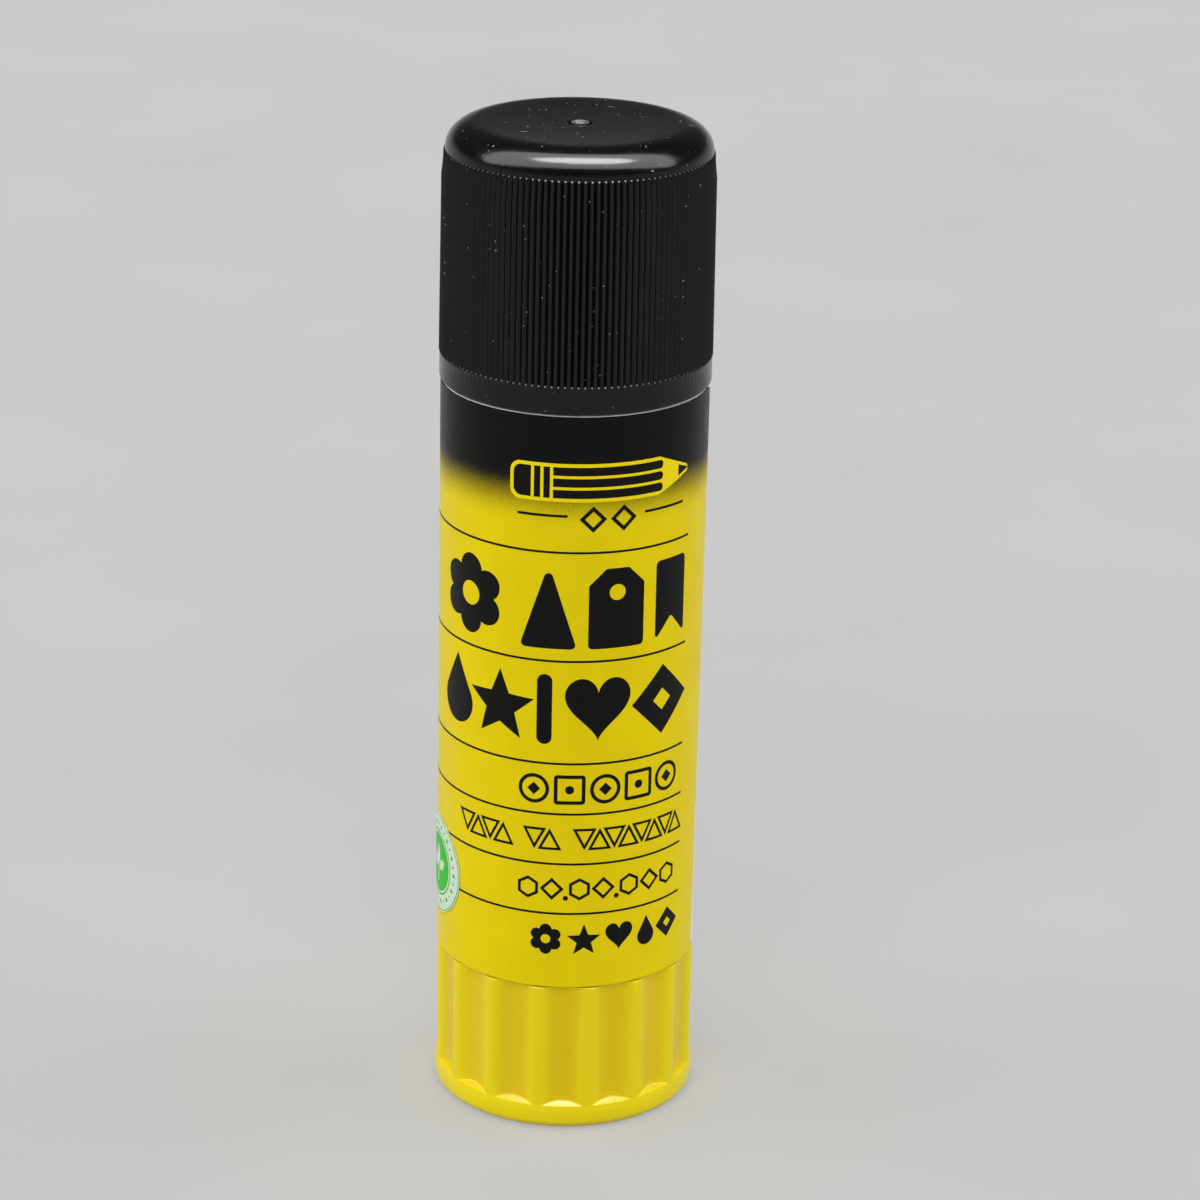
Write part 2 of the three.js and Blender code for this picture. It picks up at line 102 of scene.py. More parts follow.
def rounded(corners):
    """Outline through the corners; a corner with a third number is rounded to that radius."""
    points = []
    for index, corner in enumerate(corners):
        here = Vector(corner[:2])
        if len(corner) < 3:
            points.append(here)
            continue
        before = (Vector(corners[index - 1][:2]) - here).normalized()
        after = (Vector(corners[(index + 1) % len(corners)][:2]) - here).normalized()
        half = before.angle(after) / 2
        centre = here + (before + after).normalized() * (corner[2] / math.sin(half))
        start = here + before * (corner[2] / math.tan(half)) - centre
        end = here + after * (corner[2] / math.tan(half)) - centre
        first = math.atan2(start.y, start.x)
        turn = (math.atan2(end.y, end.x) - first + math.pi) % math.tau - math.pi
        steps = max(2, math.ceil(abs(turn) / ARC_STEP))
        points += [centre + polar(corner[2], first + turn * step / steps) for step in range(steps + 1)]
    return points


def polar(radius, angle):
    """Point at a distance from the middle, at an angle in radians."""
    return Vector((radius * math.cos(angle), radius * math.sin(angle)))


def elliptic(centre, across, up, start, end, steps):
    """Stretch of an ellipse between two angles in degrees, as profile points."""
    points = []
    for step in range(steps + 1):
        angle = math.radians(start + (end - start) * step / steps)
        points.append((centre[0] + across * math.cos(angle), centre[1] + up * math.sin(angle)))
    return points


def turned(profile, steps, closed=True):
    """Profile of (radius, height) spun once round the stick's axis."""
    bm = bmesh.new()
    verts = [bm.verts.new((0, -point[0], point[1])) for point in profile]
    edges = [bm.edges.new(pair) for pair in zip(verts, verts[1:])]
    if closed:
        edges.append(bm.edges.new((verts[-1], verts[0])))
    bmesh.ops.spin(bm, geom=verts + edges, cent=(0, 0, 0), axis=(0, 0, 1), angle=math.tau,
                   steps=steps, use_merge=True)
    bmesh.ops.remove_doubles(bm, verts=bm.verts, dist=WELD)
    bmesh.ops.recalc_face_normals(bm, faces=bm.faces)
    return bm


def reshape(bm, rule):
    """Moves each vertex along its radius to where the rule (radius, angle, height) puts it."""
    for vert in bm.verts:
        radius = math.hypot(vert.co.x, vert.co.y)
        if radius < WELD:
            continue
        angle = math.atan2(vert.co.x, -vert.co.y)
        scale = rule(radius, angle, vert.co.z) / radius
        vert.co.x *= scale
        vert.co.y *= scale


def in_scene(name, data):
    """New object in the scene."""
    thing = bpy.data.objects.new(name, data)
    bpy.context.scene.collection.objects.link(thing)
    return thing


def in_mesh(name, bm, material):
    """New object in the scene, made of a finished bmesh in one material."""
    mesh = bpy.data.meshes.new(name)
    bm.to_mesh(mesh)
    bm.free()
    mesh.materials.append(material)
    return in_scene(name, mesh)


def piece(name, bm, body, material, node=None, sharp=40):
    """Finished piece in metres, riding on its body and standing for a CAD node."""
    bmesh.ops.scale(bm, vec=(MM, MM, MM), verts=bm.verts)
    thing = in_mesh(name, bm, material)
    thing.data.shade_smooth()
    thing.data.set_sharp_from_angle(angle=math.radians(sharp))
    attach(thing, body)
    if node:
        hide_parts(node)


def seen(red, green, blue):
    """Colour as a photograph shows it, 0 to 255, as linear light."""
    levels = [level / 255 for level in (red, green, blue)]
    return tuple(v / 12.92 if v < 0.04045 else ((v + 0.055) / 1.055) ** 2.4 for v in levels)


class Nodes:
    """Shader nodes of a material or of the world."""

    def __init__(self, owner):
        owner.use_nodes = True
        self.tree = owner.node_tree

    def add(self, kind, **settings):
        node = self.tree.nodes.new(kind)
        for name, value in settings.items():
            setattr(node, name, value)
        return node

    def feed(self, socket, value):
        """Links a socket to a node's output, or sets its value."""
        if isinstance(value, bpy.types.NodeSocket):
            self.tree.links.new(value, socket)
        else:
            socket.default_value = value

    def calc(self, operation, first, second=0.0):
        node = self.add("ShaderNodeMath", operation=operation)
        self.feed(node.inputs[0], first)
        self.feed(node.inputs[1], second)
        return node.outputs[0]

    def spread(self, value, low, high, start=0.0, end=1.0, smooth=False):
        """Value between low and high, taken to between start and end."""
        node = self.add("ShaderNodeMapRange", interpolation_type="SMOOTHSTEP" if smooth else "LINEAR")
        for name, level in (("From Min", low), ("From Max", high), ("To Min", start), ("To Max", end)):
            node.inputs[name].default_value = level
        self.feed(node.inputs["Value"], value)
        return node.outputs["Result"]

    def axis_part(self, vector, axis):
        """One axis of a vector."""
        split = self.add("ShaderNodeSeparateXYZ")
        self.feed(split.inputs[0], vector)
        return split.outputs[axis]

    def shown(self):
        """1 for what the camera sees, straight, mirrored or through a piece, else 0."""
        rays = self.add("ShaderNodeLightPath").outputs
        straight = self.calc("MAXIMUM", rays["Is Camera Ray"], rays["Is Glossy Ray"])
        return self.calc("MAXIMUM", straight, rays["Is Transmission Ray"])


# Part of a noise's range that holds nearly all of it
NOISE_LOW = 0.3
NOISE_HIGH = 0.7


class Finish(Nodes):
    """Material on one Principled shader, whose patterns read object coordinates in millimetres."""

    def __init__(self, name, colour, roughness, specular=0.5):
        self.material = bpy.data.materials.new(name)
        super().__init__(self.material)
        self.shader = self.tree.nodes["Principled BSDF"]
        self.give("Base Color", (*colour, 1))
        self.give("Roughness", roughness)
        self.give("Specular IOR Level", specular)
        self.place = self.add("ShaderNodeTexCoord").outputs["Object"]

    def give(self, name, value):
        """Feeds one of the shader's own sockets."""
        self.feed(self.shader.inputs[name], value)

    def scaled(self, size, stretch=(1, 1, 1), turn=(0, 0, 0)):
        """Object coordinates in steps of a size in millimetres."""
        mapping = self.add("ShaderNodeMapping")
        mapping.inputs["Rotation"].default_value = [math.radians(angle) for angle in turn]
        mapping.inputs["Scale"].default_value = [1 / (size * MM * part) for part in stretch]
        self.feed(mapping.inputs["Vector"], self.place)
        return mapping.outputs["Vector"]

    def grain(self, size, detail=2, stretch=(1, 1, 1), turn=(0, 0, 0)):
        """Noise between 0 and 1 with features of about a size."""
        node = self.add("ShaderNodeTexNoise")
        node.inputs["Scale"].default_value = 1
        node.inputs["Detail"].default_value = detail
        self.feed(node.inputs["Vector"], self.scaled(size, stretch, turn))
        return node.outputs["Fac"]

    def cloud(self, size, detail, start=0.0, end=1.0):
        """Noise with features of about a size, spread from start to end."""
        return self.spread(self.grain(size, detail), NOISE_LOW, NOISE_HIGH, start, end)

    def specks(self, spacing, size, share, stretch=(1, 1, 1), turn=(0, 0, 0)):
        """1 on scattered specks: spacing and size in millimetres, share of the cells that hold one."""
        cells = self.add("ShaderNodeTexVoronoi")
        cells.inputs["Scale"].default_value = 1
        self.feed(cells.inputs["Vector"], self.scaled(spacing, stretch, turn))
        split = self.add("ShaderNodeSeparateColor")
        self.feed(split.inputs["Color"], cells.outputs["Color"])
        reach = self.calc("MULTIPLY", split.outputs["Green"], size / spacing)
        near = self.calc("LESS_THAN", cells.outputs["Distance"], reach)
        held = self.calc("LESS_THAN", split.outputs["Red"], share)
        return self.calc("MULTIPLY", near, held)

    def blend(self, share, first, second):
        """First colour where the share is 0, second where it is 1."""
        node = self.add("ShaderNodeMix", data_type="RGBA")
        self.feed(node.inputs["Factor"], share)
        for socket, colour in ((node.inputs[6], first), (node.inputs[7], second)):
            self.feed(socket, (*colour, 1) if isinstance(colour, tuple) else colour)
        return node.outputs[2]

    def height(self):
        """Height above the resting face in millimetres."""
        return self.calc("DIVIDE", self.axis_part(self.place, "Z"), MM)

    def axis_distance(self):
        """Distance from the stick's axis in millimetres."""
        parts = [self.axis_part(self.place, axis) for axis in ("X", "Y")]
        squares = [self.calc("MULTIPLY", part, part) for part in parts]
        return self.calc("DIVIDE", self.calc("SQRT", self.calc("ADD", *squares)), MM)

    def relief(self, value, depth):
        """Bump with a depth in millimetres."""
        node = self.add("ShaderNodeBump")
        node.inputs["Distance"].default_value = depth * MM
        self.feed(node.inputs["Height"], value)
        self.give("Normal", node.outputs["Normal"])


YELLOW_PLASTIC = seen(230, 210, 5)
# Deeper yellow used for the painted shade in the flutes and for a random mottle
YELLOW_SHADE_AND_MOTTLE = seen(221, 192, 4)
FILM_YELLOW = seen(230, 207, 3)
FILM_YELLOW_DEEP = seen(225, 201, 2)
PRINT_BLACK = seen(10, 9, 8)
CAP_BLACK = seen(6, 6, 6)
DUST = seen(118, 118, 113)
WHITE_PLASTIC = seen(222, 222, 218)
NATURAL_PLASTIC = seen(220, 220, 211)
STICKER_GREEN = seen(48, 178, 42)
STICKER_WHITE = seen(214, 224, 206)
GLUE_WHITE = seen(234, 232, 220)
GLUE_SHADE = seen(227, 224, 209)


def yellow_plastic():
    """Glossy yellow with painted shade that darkens it towards the flute bottoms, and a random mottle of
    deeper tone.
    """
    finish = Finish("yellow_plastic", YELLOW_PLASTIC, roughness=0.26, specular=0.25)
    # Painted shade: the colour darkens from the ridges to the flute bottoms by distance from the axis, and a
    # random cloud adds mottle
    depth = finish.spread(finish.axis_distance(), VALLEY_RADIUS, GRIP_RADIUS, start=1, end=0, smooth=True)
    shade_and_mottle = finish.calc("MAXIMUM", depth, finish.cloud(6, 2, start=0, end=0.2))
    finish.give("Base Color", finish.blend(shade_and_mottle, YELLOW_PLASTIC, YELLOW_SHADE_AND_MOTTLE))
    finish.give("Roughness", finish.cloud(1.5, 3, start=0.2, end=0.28))
    finish.relief(finish.grain(1.6), depth=0.004)
    return finish.material


def white_plastic(name, colour):
    """Smooth moulded white with a soft gloss."""
    finish = Finish(name, colour, roughness=0.3, specular=0.2)
    finish.give("Roughness", finish.cloud(1.8, 2, start=0.26, end=0.34))
    finish.relief(finish.grain(3, 1), depth=0.012)
    return finish.material


# Fade of the label from yellow to black: heights in millimetres, and how far its dots and its drift move it
FADE_BOTTOM = 72.2
FADE_TOP = 77.8
FADE_DOTS = 3.4
FADE_DRIFT = 0.5


def label_film():
    """Printed film that fades from yellow to black through fine dots."""
    finish = Finish("label_film", FILM_YELLOW, roughness=0.34, specular=0.12)
    dots = finish.calc("MULTIPLY", finish.calc("SUBTRACT", finish.grain(0.09), 0.5), FADE_DOTS)
    drift = finish.calc("MULTIPLY", finish.calc("SUBTRACT", finish.grain(4, 1), 0.5), FADE_DRIFT)
    level = finish.calc("ADD", finish.height(), finish.calc("ADD", dots, drift))
    fade = finish.spread(level, FADE_BOTTOM, FADE_TOP, smooth=True)
    yellow = finish.blend(finish.cloud(5, 3), FILM_YELLOW, FILM_YELLOW_DEEP)
    finish.give("Base Color", finish.blend(fade, yellow, PRINT_BLACK))
    finish.give("Roughness", finish.cloud(1.5, 3, start=0.3, end=0.4))
    ripple = finish.grain(7, 1, stretch=(1, 1, 2.5))
    tooth = finish.calc("MULTIPLY", finish.grain(0.25), 0.12)
    finish.relief(finish.calc("ADD", ripple, tooth), depth=0.02)
    return finish.material


def print_ink(name, colour):
    """Ink that covers a little unevenly."""
    finish = Finish(name, colour, roughness=0.38, specular=0.12)
    thin = tuple(min(1.0, part * 1.25 + 0.001) for part in colour)
    finish.give("Base Color", finish.blend(finish.spread(finish.grain(0.15), 0.35, 0.75), colour, thin))
    finish.give("Roughness", finish.cloud(0.6, 2, start=0.32, end=0.44))
    return finish.material


# Dust and lint on the cap: how far above the ribs lint lies, and how matt the marks are
LINT_ABOVE_RIBS = 0.5
MARK_ROUGHNESS = 0.8


def black_plastic():
    """Glossy black, with specks of dust, lint on the crown and faint scuffs."""
    finish = Finish("black_plastic", CAP_BLACK, roughness=0.15, specular=0.3)
    dust = finish.calc("MAXIMUM", finish.specks(spacing=0.8, size=0.1, share=0.45),
                       finish.specks(spacing=2.3, size=0.15, share=0.3, turn=(20, 35, 50)))
    lint = finish.calc("MAXIMUM",
                       finish.specks(spacing=1.0, size=0.11, share=0.6, stretch=(7, 1, 1), turn=(0, 8, 25)),
                       finish.specks(spacing=1.2, size=0.11, share=0.5, stretch=(1, 7, 1), turn=(6, 0, -35)))
    on_crown = finish.calc("GREATER_THAN", finish.height(), RIBS_TOP + LINT_ABOVE_RIBS)
    marks = finish.calc("MAXIMUM", dust, finish.calc("MULTIPLY", lint, on_crown))
    finish.give("Base Color", finish.blend(marks, CAP_BLACK, DUST))
    worn = finish.cloud(2.2, 4, start=0.15, end=0.21)
    finish.give("Roughness", finish.calc("MAXIMUM", worn, finish.calc("MULTIPLY", marks, MARK_ROUGHNESS)))
    scuffs = finish.calc("MULTIPLY", finish.grain(0.35, 3, stretch=(6, 1, 1), turn=(0, 0, 30)), 0.5)
    finish.relief(finish.calc("ADD", scuffs, finish.grain(2.5)), depth=0.012)
    return finish.material


def sticker_film():
    """Pale film with a speckle of green."""
    finish = Finish("sticker_film", STICKER_WHITE, roughness=0.4)
    speckle = finish.calc("MULTIPLY", finish.spread(finish.grain(0.22), 0.6, 0.66), 0.55)
    finish.give("Base Color", finish.blend(speckle, STICKER_WHITE, STICKER_GREEN))
    finish.give("Roughness", finish.cloud(1, 2, start=0.34, end=0.46))
    return finish.material


def waxy_glue():
    """Waxy white that light enters a little, smeared on its surface."""
    finish = Finish("waxy_glue", GLUE_WHITE, roughness=0.42)
    finish.give("Base Color", finish.blend(finish.cloud(3, 3), GLUE_WHITE, GLUE_SHADE))
    finish.give("Roughness", finish.cloud(1.2, 3, start=0.34, end=0.52))
    finish.give("Subsurface Weight", 0.5)
    finish.give("Subsurface Radius", (1.0, 0.95, 0.75))
    finish.give("Subsurface Scale", 2.5 * MM)
    finish.relief(finish.grain(1.6, 4, stretch=(3, 1, 1), turn=(0, 0, 20)), depth=0.06)
    return finish.material


# Base knob
FLANGE_EDGE = 1.1
FOOT_RING = 2.6
FOOT_RECESS = 0.7
FOOT_BEND = 0.3
GRIP_PROUD = 0.2
GRIP_EDGE = 0.14
FLUTES = 16
FLUTE_DEPTH = 0.75
FLUTE_WIDTH = 5.2
FLUTE_FOOT = 2.8
FLUTE_FULL = 3.42
FLUTE_BLEND = 0.16
LEDGE_BEND = 1.45
LEDGE_BLEND = 0.06
LIP_BOTTOM = 1.9
LIP_TOP = 3.0
GRIP_WALL = 1.85
KNOB_FLOOR = 1.8
HUB_RADIUS = 6
HUB_HEIGHT = 5.2
PLUG_RADIUS = 4
PLUG_SIDES = 6
SNAP_HEIGHT = 1.6
SNAP_DEPTH = 0.3
SNAP_DROP = 4
LIP_ROWS = 6
FLUTE_FOOT_ROWS = 14
LOWEST_GRIP_ROW = 0.3
HIGHEST_GRIP_ROW = 1.5
KNOB_STEPS = 384

GRIP_RADIUS = BARREL_RADIUS + GRIP_PROUD
VALLEY_RADIUS = GRIP_RADIUS - FLUTE_DEPTH
KNOB_BORE = BARREL_RADIUS - GRIP_WALL
SNAP_MIDDLE = KNOB_TOP - SNAP_DROP


def soft_lower(first, second, reach):
    """The lower of two values, with a rounded change from one to the other."""
    share = max(reach - abs(first - second), 0) / reach
    return min(first, second) - share * share * reach / 4


def lip(height):
    """Radius of the flange where it eases into the grip."""
    share = min(max((LIP_TOP - height) / (LIP_TOP - LIP_BOTTOM), 0), 1)
    return GRIP_RADIUS + (FLANGE_RADIUS - GRIP_RADIUS) * share * share * (3 - 2 * share)


def base_knob(material):
    """Fluted grip over a rounded flange, hollow above its floor, with a hub for the screw."""
    top = KNOB_TOP + FILM_GAP
    ring_out = FLANGE_RADIUS - FLANGE_EDGE
    ring_in = ring_out - FOOT_RING
    recess = ring_in - FOOT_RECESS
    hub_top = KNOB_FLOOR + HUB_HEIGHT
    socket = PLUG_RADIUS + SLIDING_GAP
    groove_half = SNAP_HEIGHT / 2 + SLIDING_GAP
    groove_radius = KNOB_BORE + SNAP_DEPTH + SLIDING_GAP
    rows = [LIP_BOTTOM + (FLUTE_FOOT - LIP_BOTTOM) * row / LIP_ROWS for row in range(LIP_ROWS)]
    rows += [FLUTE_FOOT + (FLUTE_FULL - FLUTE_FOOT) * row / FLUTE_FOOT_ROWS
             for row in range(FLUTE_FOOT_ROWS + 1)]
    profile = [
        (0, FOOT_RECESS),
        *rounded([(recess - 2 * STUB, FOOT_RECESS), (recess, FOOT_RECESS, FOOT_BEND),
                  (ring_in, 0, FOOT_BEND), (ring_in + 2 * STUB, 0)]),
        *elliptic((ring_out, FLANGE_EDGE), FLANGE_EDGE, FLANGE_EDGE, -90, 0, 9),
        *[(lip(height), height) for height in rows],
        (GRIP_RADIUS, FLUTE_FULL + LOWEST_GRIP_ROW),
        (GRIP_RADIUS, KNOB_TOP - HIGHEST_GRIP_ROW),
        *elliptic((GRIP_RADIUS - GRIP_EDGE, top - GRIP_EDGE), GRIP_EDGE, GRIP_EDGE, 0, 90, 5),
        *rounded([(KNOB_BORE + STUB, top), (KNOB_BORE, top, SMALL_BEND),
                  (KNOB_BORE, SNAP_MIDDLE + groove_half + STUB)]),
        (KNOB_BORE, SNAP_MIDDLE + groove_half),
        (groove_radius, SNAP_MIDDLE + groove_half - SNAP_DEPTH),
        (groove_radius, SNAP_MIDDLE - groove_half + SNAP_DEPTH),
        (KNOB_BORE, SNAP_MIDDLE - groove_half),
        (KNOB_BORE, KNOB_FLOOR),
        (HUB_RADIUS, KNOB_FLOOR),
        (HUB_RADIUS, hub_top),
        (socket, hub_top),
        (socket, KNOB_FLOOR),
        (0, KNOB_FLOOR),
    ]
    bm = turned(profile, KNOB_STEPS, closed=False)
    half_side = math.pi / PLUG_SIDES
    bend = (FLUTE_WIDTH ** 2 / 4 + FLUTE_DEPTH ** 2) / (2 * FLUTE_DEPTH)

    def rule(radius, angle, height):
        """Hexagonal socket in the hub; round-bottomed flutes that end in a short ledge."""
        if radius < socket + WELD and height >= KNOB_FLOOR:
            side = (angle + half_side) % (2 * half_side) - half_side
            return radius * math.cos(half_side) / math.cos(side)
        if radius < GRIP_RADIUS - GRIP_EDGE - WELD or height < FLUTE_FOOT:
            return radius
        off = (angle + math.pi / FLUTES) % (math.tau / FLUTES) - math.pi / FLUTES
        centre = GRIP_RADIUS - FLUTE_DEPTH + bend
        across = bend ** 2 - (centre * math.sin(off)) ** 2
        if across <= 0:
            return radius
        fluted = soft_lower(radius, centre * math.cos(off) - math.sqrt(across), FLUTE_BLEND)
        drop = max(FLUTE_FULL - height, 0) / (FLUTE_FULL - FLUTE_FOOT)
        ledge = radius - FLUTE_DEPTH * (1 - drop ** LEDGE_BEND)
        return min(radius, -soft_lower(-fluted, -ledge, LEDGE_BLEND))

    reshape(bm, rule)
    piece("fluted_base", bm, "knob", material, "base_knob", sharp=50)


# Barrel
BARREL_WALL = 2.15
SKIRT_WALL = 1.1
SKIRT_TIP_BEND = 0.2
NECK_STEP = 1.05
NECK_HEIGHT = 14
NECK_EDGE = 0.3
NECK_BEAD = 0.12
NECK_BEAD_RISE = 3
BEAD_HEIGHT = 1
BEAD_ROWS = 16
BORE_FLOOR = 1.8
GUIDES = 4
GUIDE_HEIGHT = 0.5
GUIDE_WIDTH = 1.2
GUIDE_STOP = 3
GUIDE_END_HIGH = 0.1
GUIDE_END_LOW = 0.4
BARREL_STEPS = 256
BARREL_EDGE = 0.1

BARREL_BOTTOM = LABEL_BOTTOM - LABEL_MARGIN
SHOULDER = MOUTH - NECK_HEIGHT
BORE_RADIUS = BARREL_RADIUS - BARREL_WALL
NECK_RADIUS = BARREL_RADIUS - NECK_STEP
SKIRT_RADIUS = KNOB_BORE - SLIDING_GAP


def guide_share(angle, radius, width):
    """1 on the guides that run up the bore, 0 between them."""
    quarter = math.tau / GUIDES
    off = (angle % quarter) - quarter / 2
    return 1 if abs(off) * radius < width / 2 else 0


def barrel(material):
    """White tube: snap skirt below, bore with four guides, neck with a bead for the cap."""
    snap_radius = KNOB_BORE + SNAP_DEPTH
    snap_top = SNAP_MIDDLE + SNAP_HEIGHT / 2
    snap_bottom = SNAP_MIDDLE - SNAP_HEIGHT / 2
    bead = SHOULDER + NECK_BEAD_RISE
    bead_rows = [row / BEAD_ROWS - 0.5 for row in range(BEAD_ROWS + 1)]
    floor = BARREL_BOTTOM + BORE_FLOOR
    skirt_in = SKIRT_RADIUS - SKIRT_WALL
    guide_end = MOUTH - GUIDE_STOP
    mouth_edge = NECK_EDGE / 2
    profile = [
        (skirt_in, SKIRT_BOTTOM),
        *rounded([(skirt_in + SKIRT_TIP_BEND, SKIRT_BOTTOM),
                  (SKIRT_RADIUS - SKIRT_WALL / 2, SKIRT_BOTTOM, SKIRT_TIP_BEND),
                  (SKIRT_RADIUS, SKIRT_BOTTOM + SKIRT_WALL, 2 * SKIRT_TIP_BEND),
                  (SKIRT_RADIUS, snap_bottom - 2 * STUB)]),
        (SKIRT_RADIUS, snap_bottom),
        (snap_radius, snap_bottom + SNAP_DEPTH),
        (snap_radius, snap_top - SNAP_DEPTH),
        (SKIRT_RADIUS, snap_top),
        (SKIRT_RADIUS, BARREL_BOTTOM),
        (BARREL_RADIUS - BARREL_EDGE, BARREL_BOTTOM),
        (BARREL_RADIUS, BARREL_BOTTOM + BARREL_EDGE),
        (BARREL_RADIUS, SHOULDER - BARREL_EDGE),
        (BARREL_RADIUS - BARREL_EDGE, SHOULDER),
        *rounded([(BARREL_RADIUS - STUB, SHOULDER), (NECK_RADIUS, SHOULDER, SMALL_BEND),
                  (NECK_RADIUS, SHOULDER + STUB)]),
        *[(NECK_RADIUS + NECK_BEAD * math.cos(math.pi * row) ** 2, bead + BEAD_HEIGHT * row)
          for row in bead_rows],
        *elliptic((NECK_RADIUS - NECK_EDGE, MOUTH - NECK_EDGE), NECK_EDGE, NECK_EDGE, 0, 90, 6),
        *elliptic((BORE_RADIUS + mouth_edge, MOUTH - mouth_edge), mouth_edge, mouth_edge, 90, 180, 4),
        (BORE_RADIUS, guide_end + GUIDE_END_HIGH),
        (BORE_RADIUS, guide_end - GUIDE_END_LOW),
        (BORE_RADIUS, floor),
        (skirt_in, floor),
    ]
    bm = turned(profile, BARREL_STEPS)

    def rule(radius, angle, height):
        on_bore = abs(radius - BORE_RADIUS) < WELD and floor - WELD < height < guide_end
        return radius - GUIDE_HEIGHT * guide_share(angle, radius, GUIDE_WIDTH) if on_bore else radius

    reshape(bm, rule)
    piece("white_barrel", bm, "barrel", material, "barrel")


# Cap
CAP_BORE_GAP = 0.3
RIM_LIP = 0.28
RIM_HEIGHT = 3
RIM_EDGE = 0.3
RIM_TOP_EDGE = 0.05
RIB_LIP = 0.35
RIBS = 130
RIB_DEPTH = 0.3
RIB_TAPER = 0.18
RIB_TUCK = 0.08
RIB_END = 0.2
RIB_END_ROWS = 2
RIB_RUNOUT = 2.8
RIB_RUNOUT_ROWS = 6
RIB_DRAW_IN = 0.2
RIB_BEND = 1.6
RAMP_HEIGHT = 0.24
RAMP_RUN = 0.25
RAMP_ROWS = 3
STEPS_PER_RIB = 6
CROWN_INSET = 0.17
CROWN_HEIGHT = 2.9
CROWN_EDGE = 3.3
CROWN_DISH = 0.15
CROWN_ROWS = (1.9, 3, 4.5, 6, 7.5, 9, 10.3)
CAP_TOP_WALL = 1.5
CEILING_EDGE = 1.5
DIMPLE_RADIUS = 1.45
DIMPLE_DEPTH = 0.4
DIMPLE_SLOPE = 0.28
DIMPLE_BEND = 0.3
NUB_RADIUS = 0.36
NUB_HEIGHT = 0.2
NUB_FOOT = 0.05
CAP_LEAD_IN = 0.4
CAP_LEAD_IN_RUN = 0.36
CAP_BEAD_HEIGHT = 0.8
SNAP_GAP = 0.1

RIBS_BOTTOM = CAP_BOTTOM + RIM_HEIGHT
RIBS_TOP = CAP_TOP - CROWN_HEIGHT
CAP_BORE = NECK_RADIUS + CAP_BORE_GAP
RIM_RADIUS = BARREL_RADIUS + RIM_LIP
RIB_RADIUS = BARREL_RADIUS + RIB_LIP
CROWN_RADIUS = BARREL_RADIUS - CROWN_INSET
CEILING = CAP_TOP - CAP_TOP_WALL


def cap(material):
    """Black cap: plain rim, fine upright ribs, smooth rounded crown with a gate dimple."""
    flat = CROWN_RADIUS - CROWN_EDGE
    root = CROWN_RADIUS - RIB_TUCK
    bead = SHOULDER + NECK_BEAD_RISE + BEAD_HEIGHT
    bead_in = NECK_RADIUS + NECK_BEAD + SNAP_GAP
    ceiling_flat = CAP_BORE - CEILING_EDGE
    past_dimple = DIMPLE_RADIUS + DIMPLE_BEND

    def dish(radius):
        return CAP_TOP - CROWN_DISH * (1 - (radius / flat) ** 2)

    pit = dish(0) - DIMPLE_DEPTH
    rib_rows = [RIBS_TOP - RIB_END * row / RIB_END_ROWS for row in range(RIB_END_ROWS + 1)]
    rib_rows += [RIBS_TOP - RIB_END - (RIB_RUNOUT - RIB_END) * row / RIB_RUNOUT_ROWS
                 for row in range(1, RIB_RUNOUT_ROWS + 1)]
    profile = [
        *elliptic((0, pit), NUB_RADIUS, NUB_HEIGHT, 90, 0, 7),
        *rounded([(NUB_RADIUS + NUB_FOOT, pit), (DIMPLE_RADIUS - DIMPLE_SLOPE, pit, DIMPLE_BEND),
                  (DIMPLE_RADIUS, dish(DIMPLE_RADIUS), SMALL_BEND), (past_dimple, dish(past_dimple))]),
        *[(radius, dish(radius)) for radius in CROWN_ROWS],
        *elliptic((flat, RIBS_TOP), CROWN_EDGE, CROWN_HEIGHT, 90, 0, 16),
        *[(root, height) for height in rib_rows],
        *[(root, RIBS_BOTTOM + RAMP_HEIGHT * row / RAMP_ROWS) for row in range(RAMP_ROWS + 1, -1, -1)],
        (RIM_RADIUS, RIBS_BOTTOM - RIM_TOP_EDGE),
        (RIM_RADIUS, CAP_BOTTOM + 3 * RIM_EDGE),
        *elliptic((RIM_RADIUS - RIM_EDGE, CAP_BOTTOM + RIM_EDGE), RIM_EDGE, RIM_EDGE, 0, -90, 8),
        (CAP_BORE + CAP_LEAD_IN_RUN, CAP_BOTTOM),
        (CAP_BORE, CAP_BOTTOM + CAP_LEAD_IN),
        (CAP_BORE, bead - CAP_BEAD_HEIGHT / 2),
        (bead_in, bead),
        (CAP_BORE, bead + CAP_BEAD_HEIGHT / 2),
        *elliptic((ceiling_flat, CEILING - CEILING_EDGE), CEILING_EDGE, CEILING_EDGE, 0, 90, 6),
        (0, CEILING),
    ]
    bm = turned(profile, RIBS * STEPS_PER_RIB, closed=False)

    def rule(radius, angle, height):
        """Narrow ribs that draw in and fade towards the crown and end in a sloped ring over the rim."""
        if abs(radius - root) > WELD or not RIBS_BOTTOM - WELD < height < RIBS_TOP + WELD:
            return radius
        below = RIBS_TOP - height
        crest = RIB_RADIUS - RIB_TAPER * (height - RIBS_BOTTOM) / (RIBS_TOP - RIBS_BOTTOM)
        crest -= RIB_DRAW_IN * (1 - min(below / RIB_RUNOUT, 1) ** 2)
        end = min(below / RIB_END, 1)
        wave = abs(math.cos(angle * RIBS / 2)) ** RIB_BEND
        ramp = RIM_RADIUS - RAMP_RUN * (height - RIBS_BOTTOM) / RAMP_HEIGHT
        return max(radius + (crest - RIB_DEPTH * (1 - wave) - radius) * end, ramp)

    reshape(bm, rule)
    piece("ribbed_cap", bm, "cap", material, "cap")


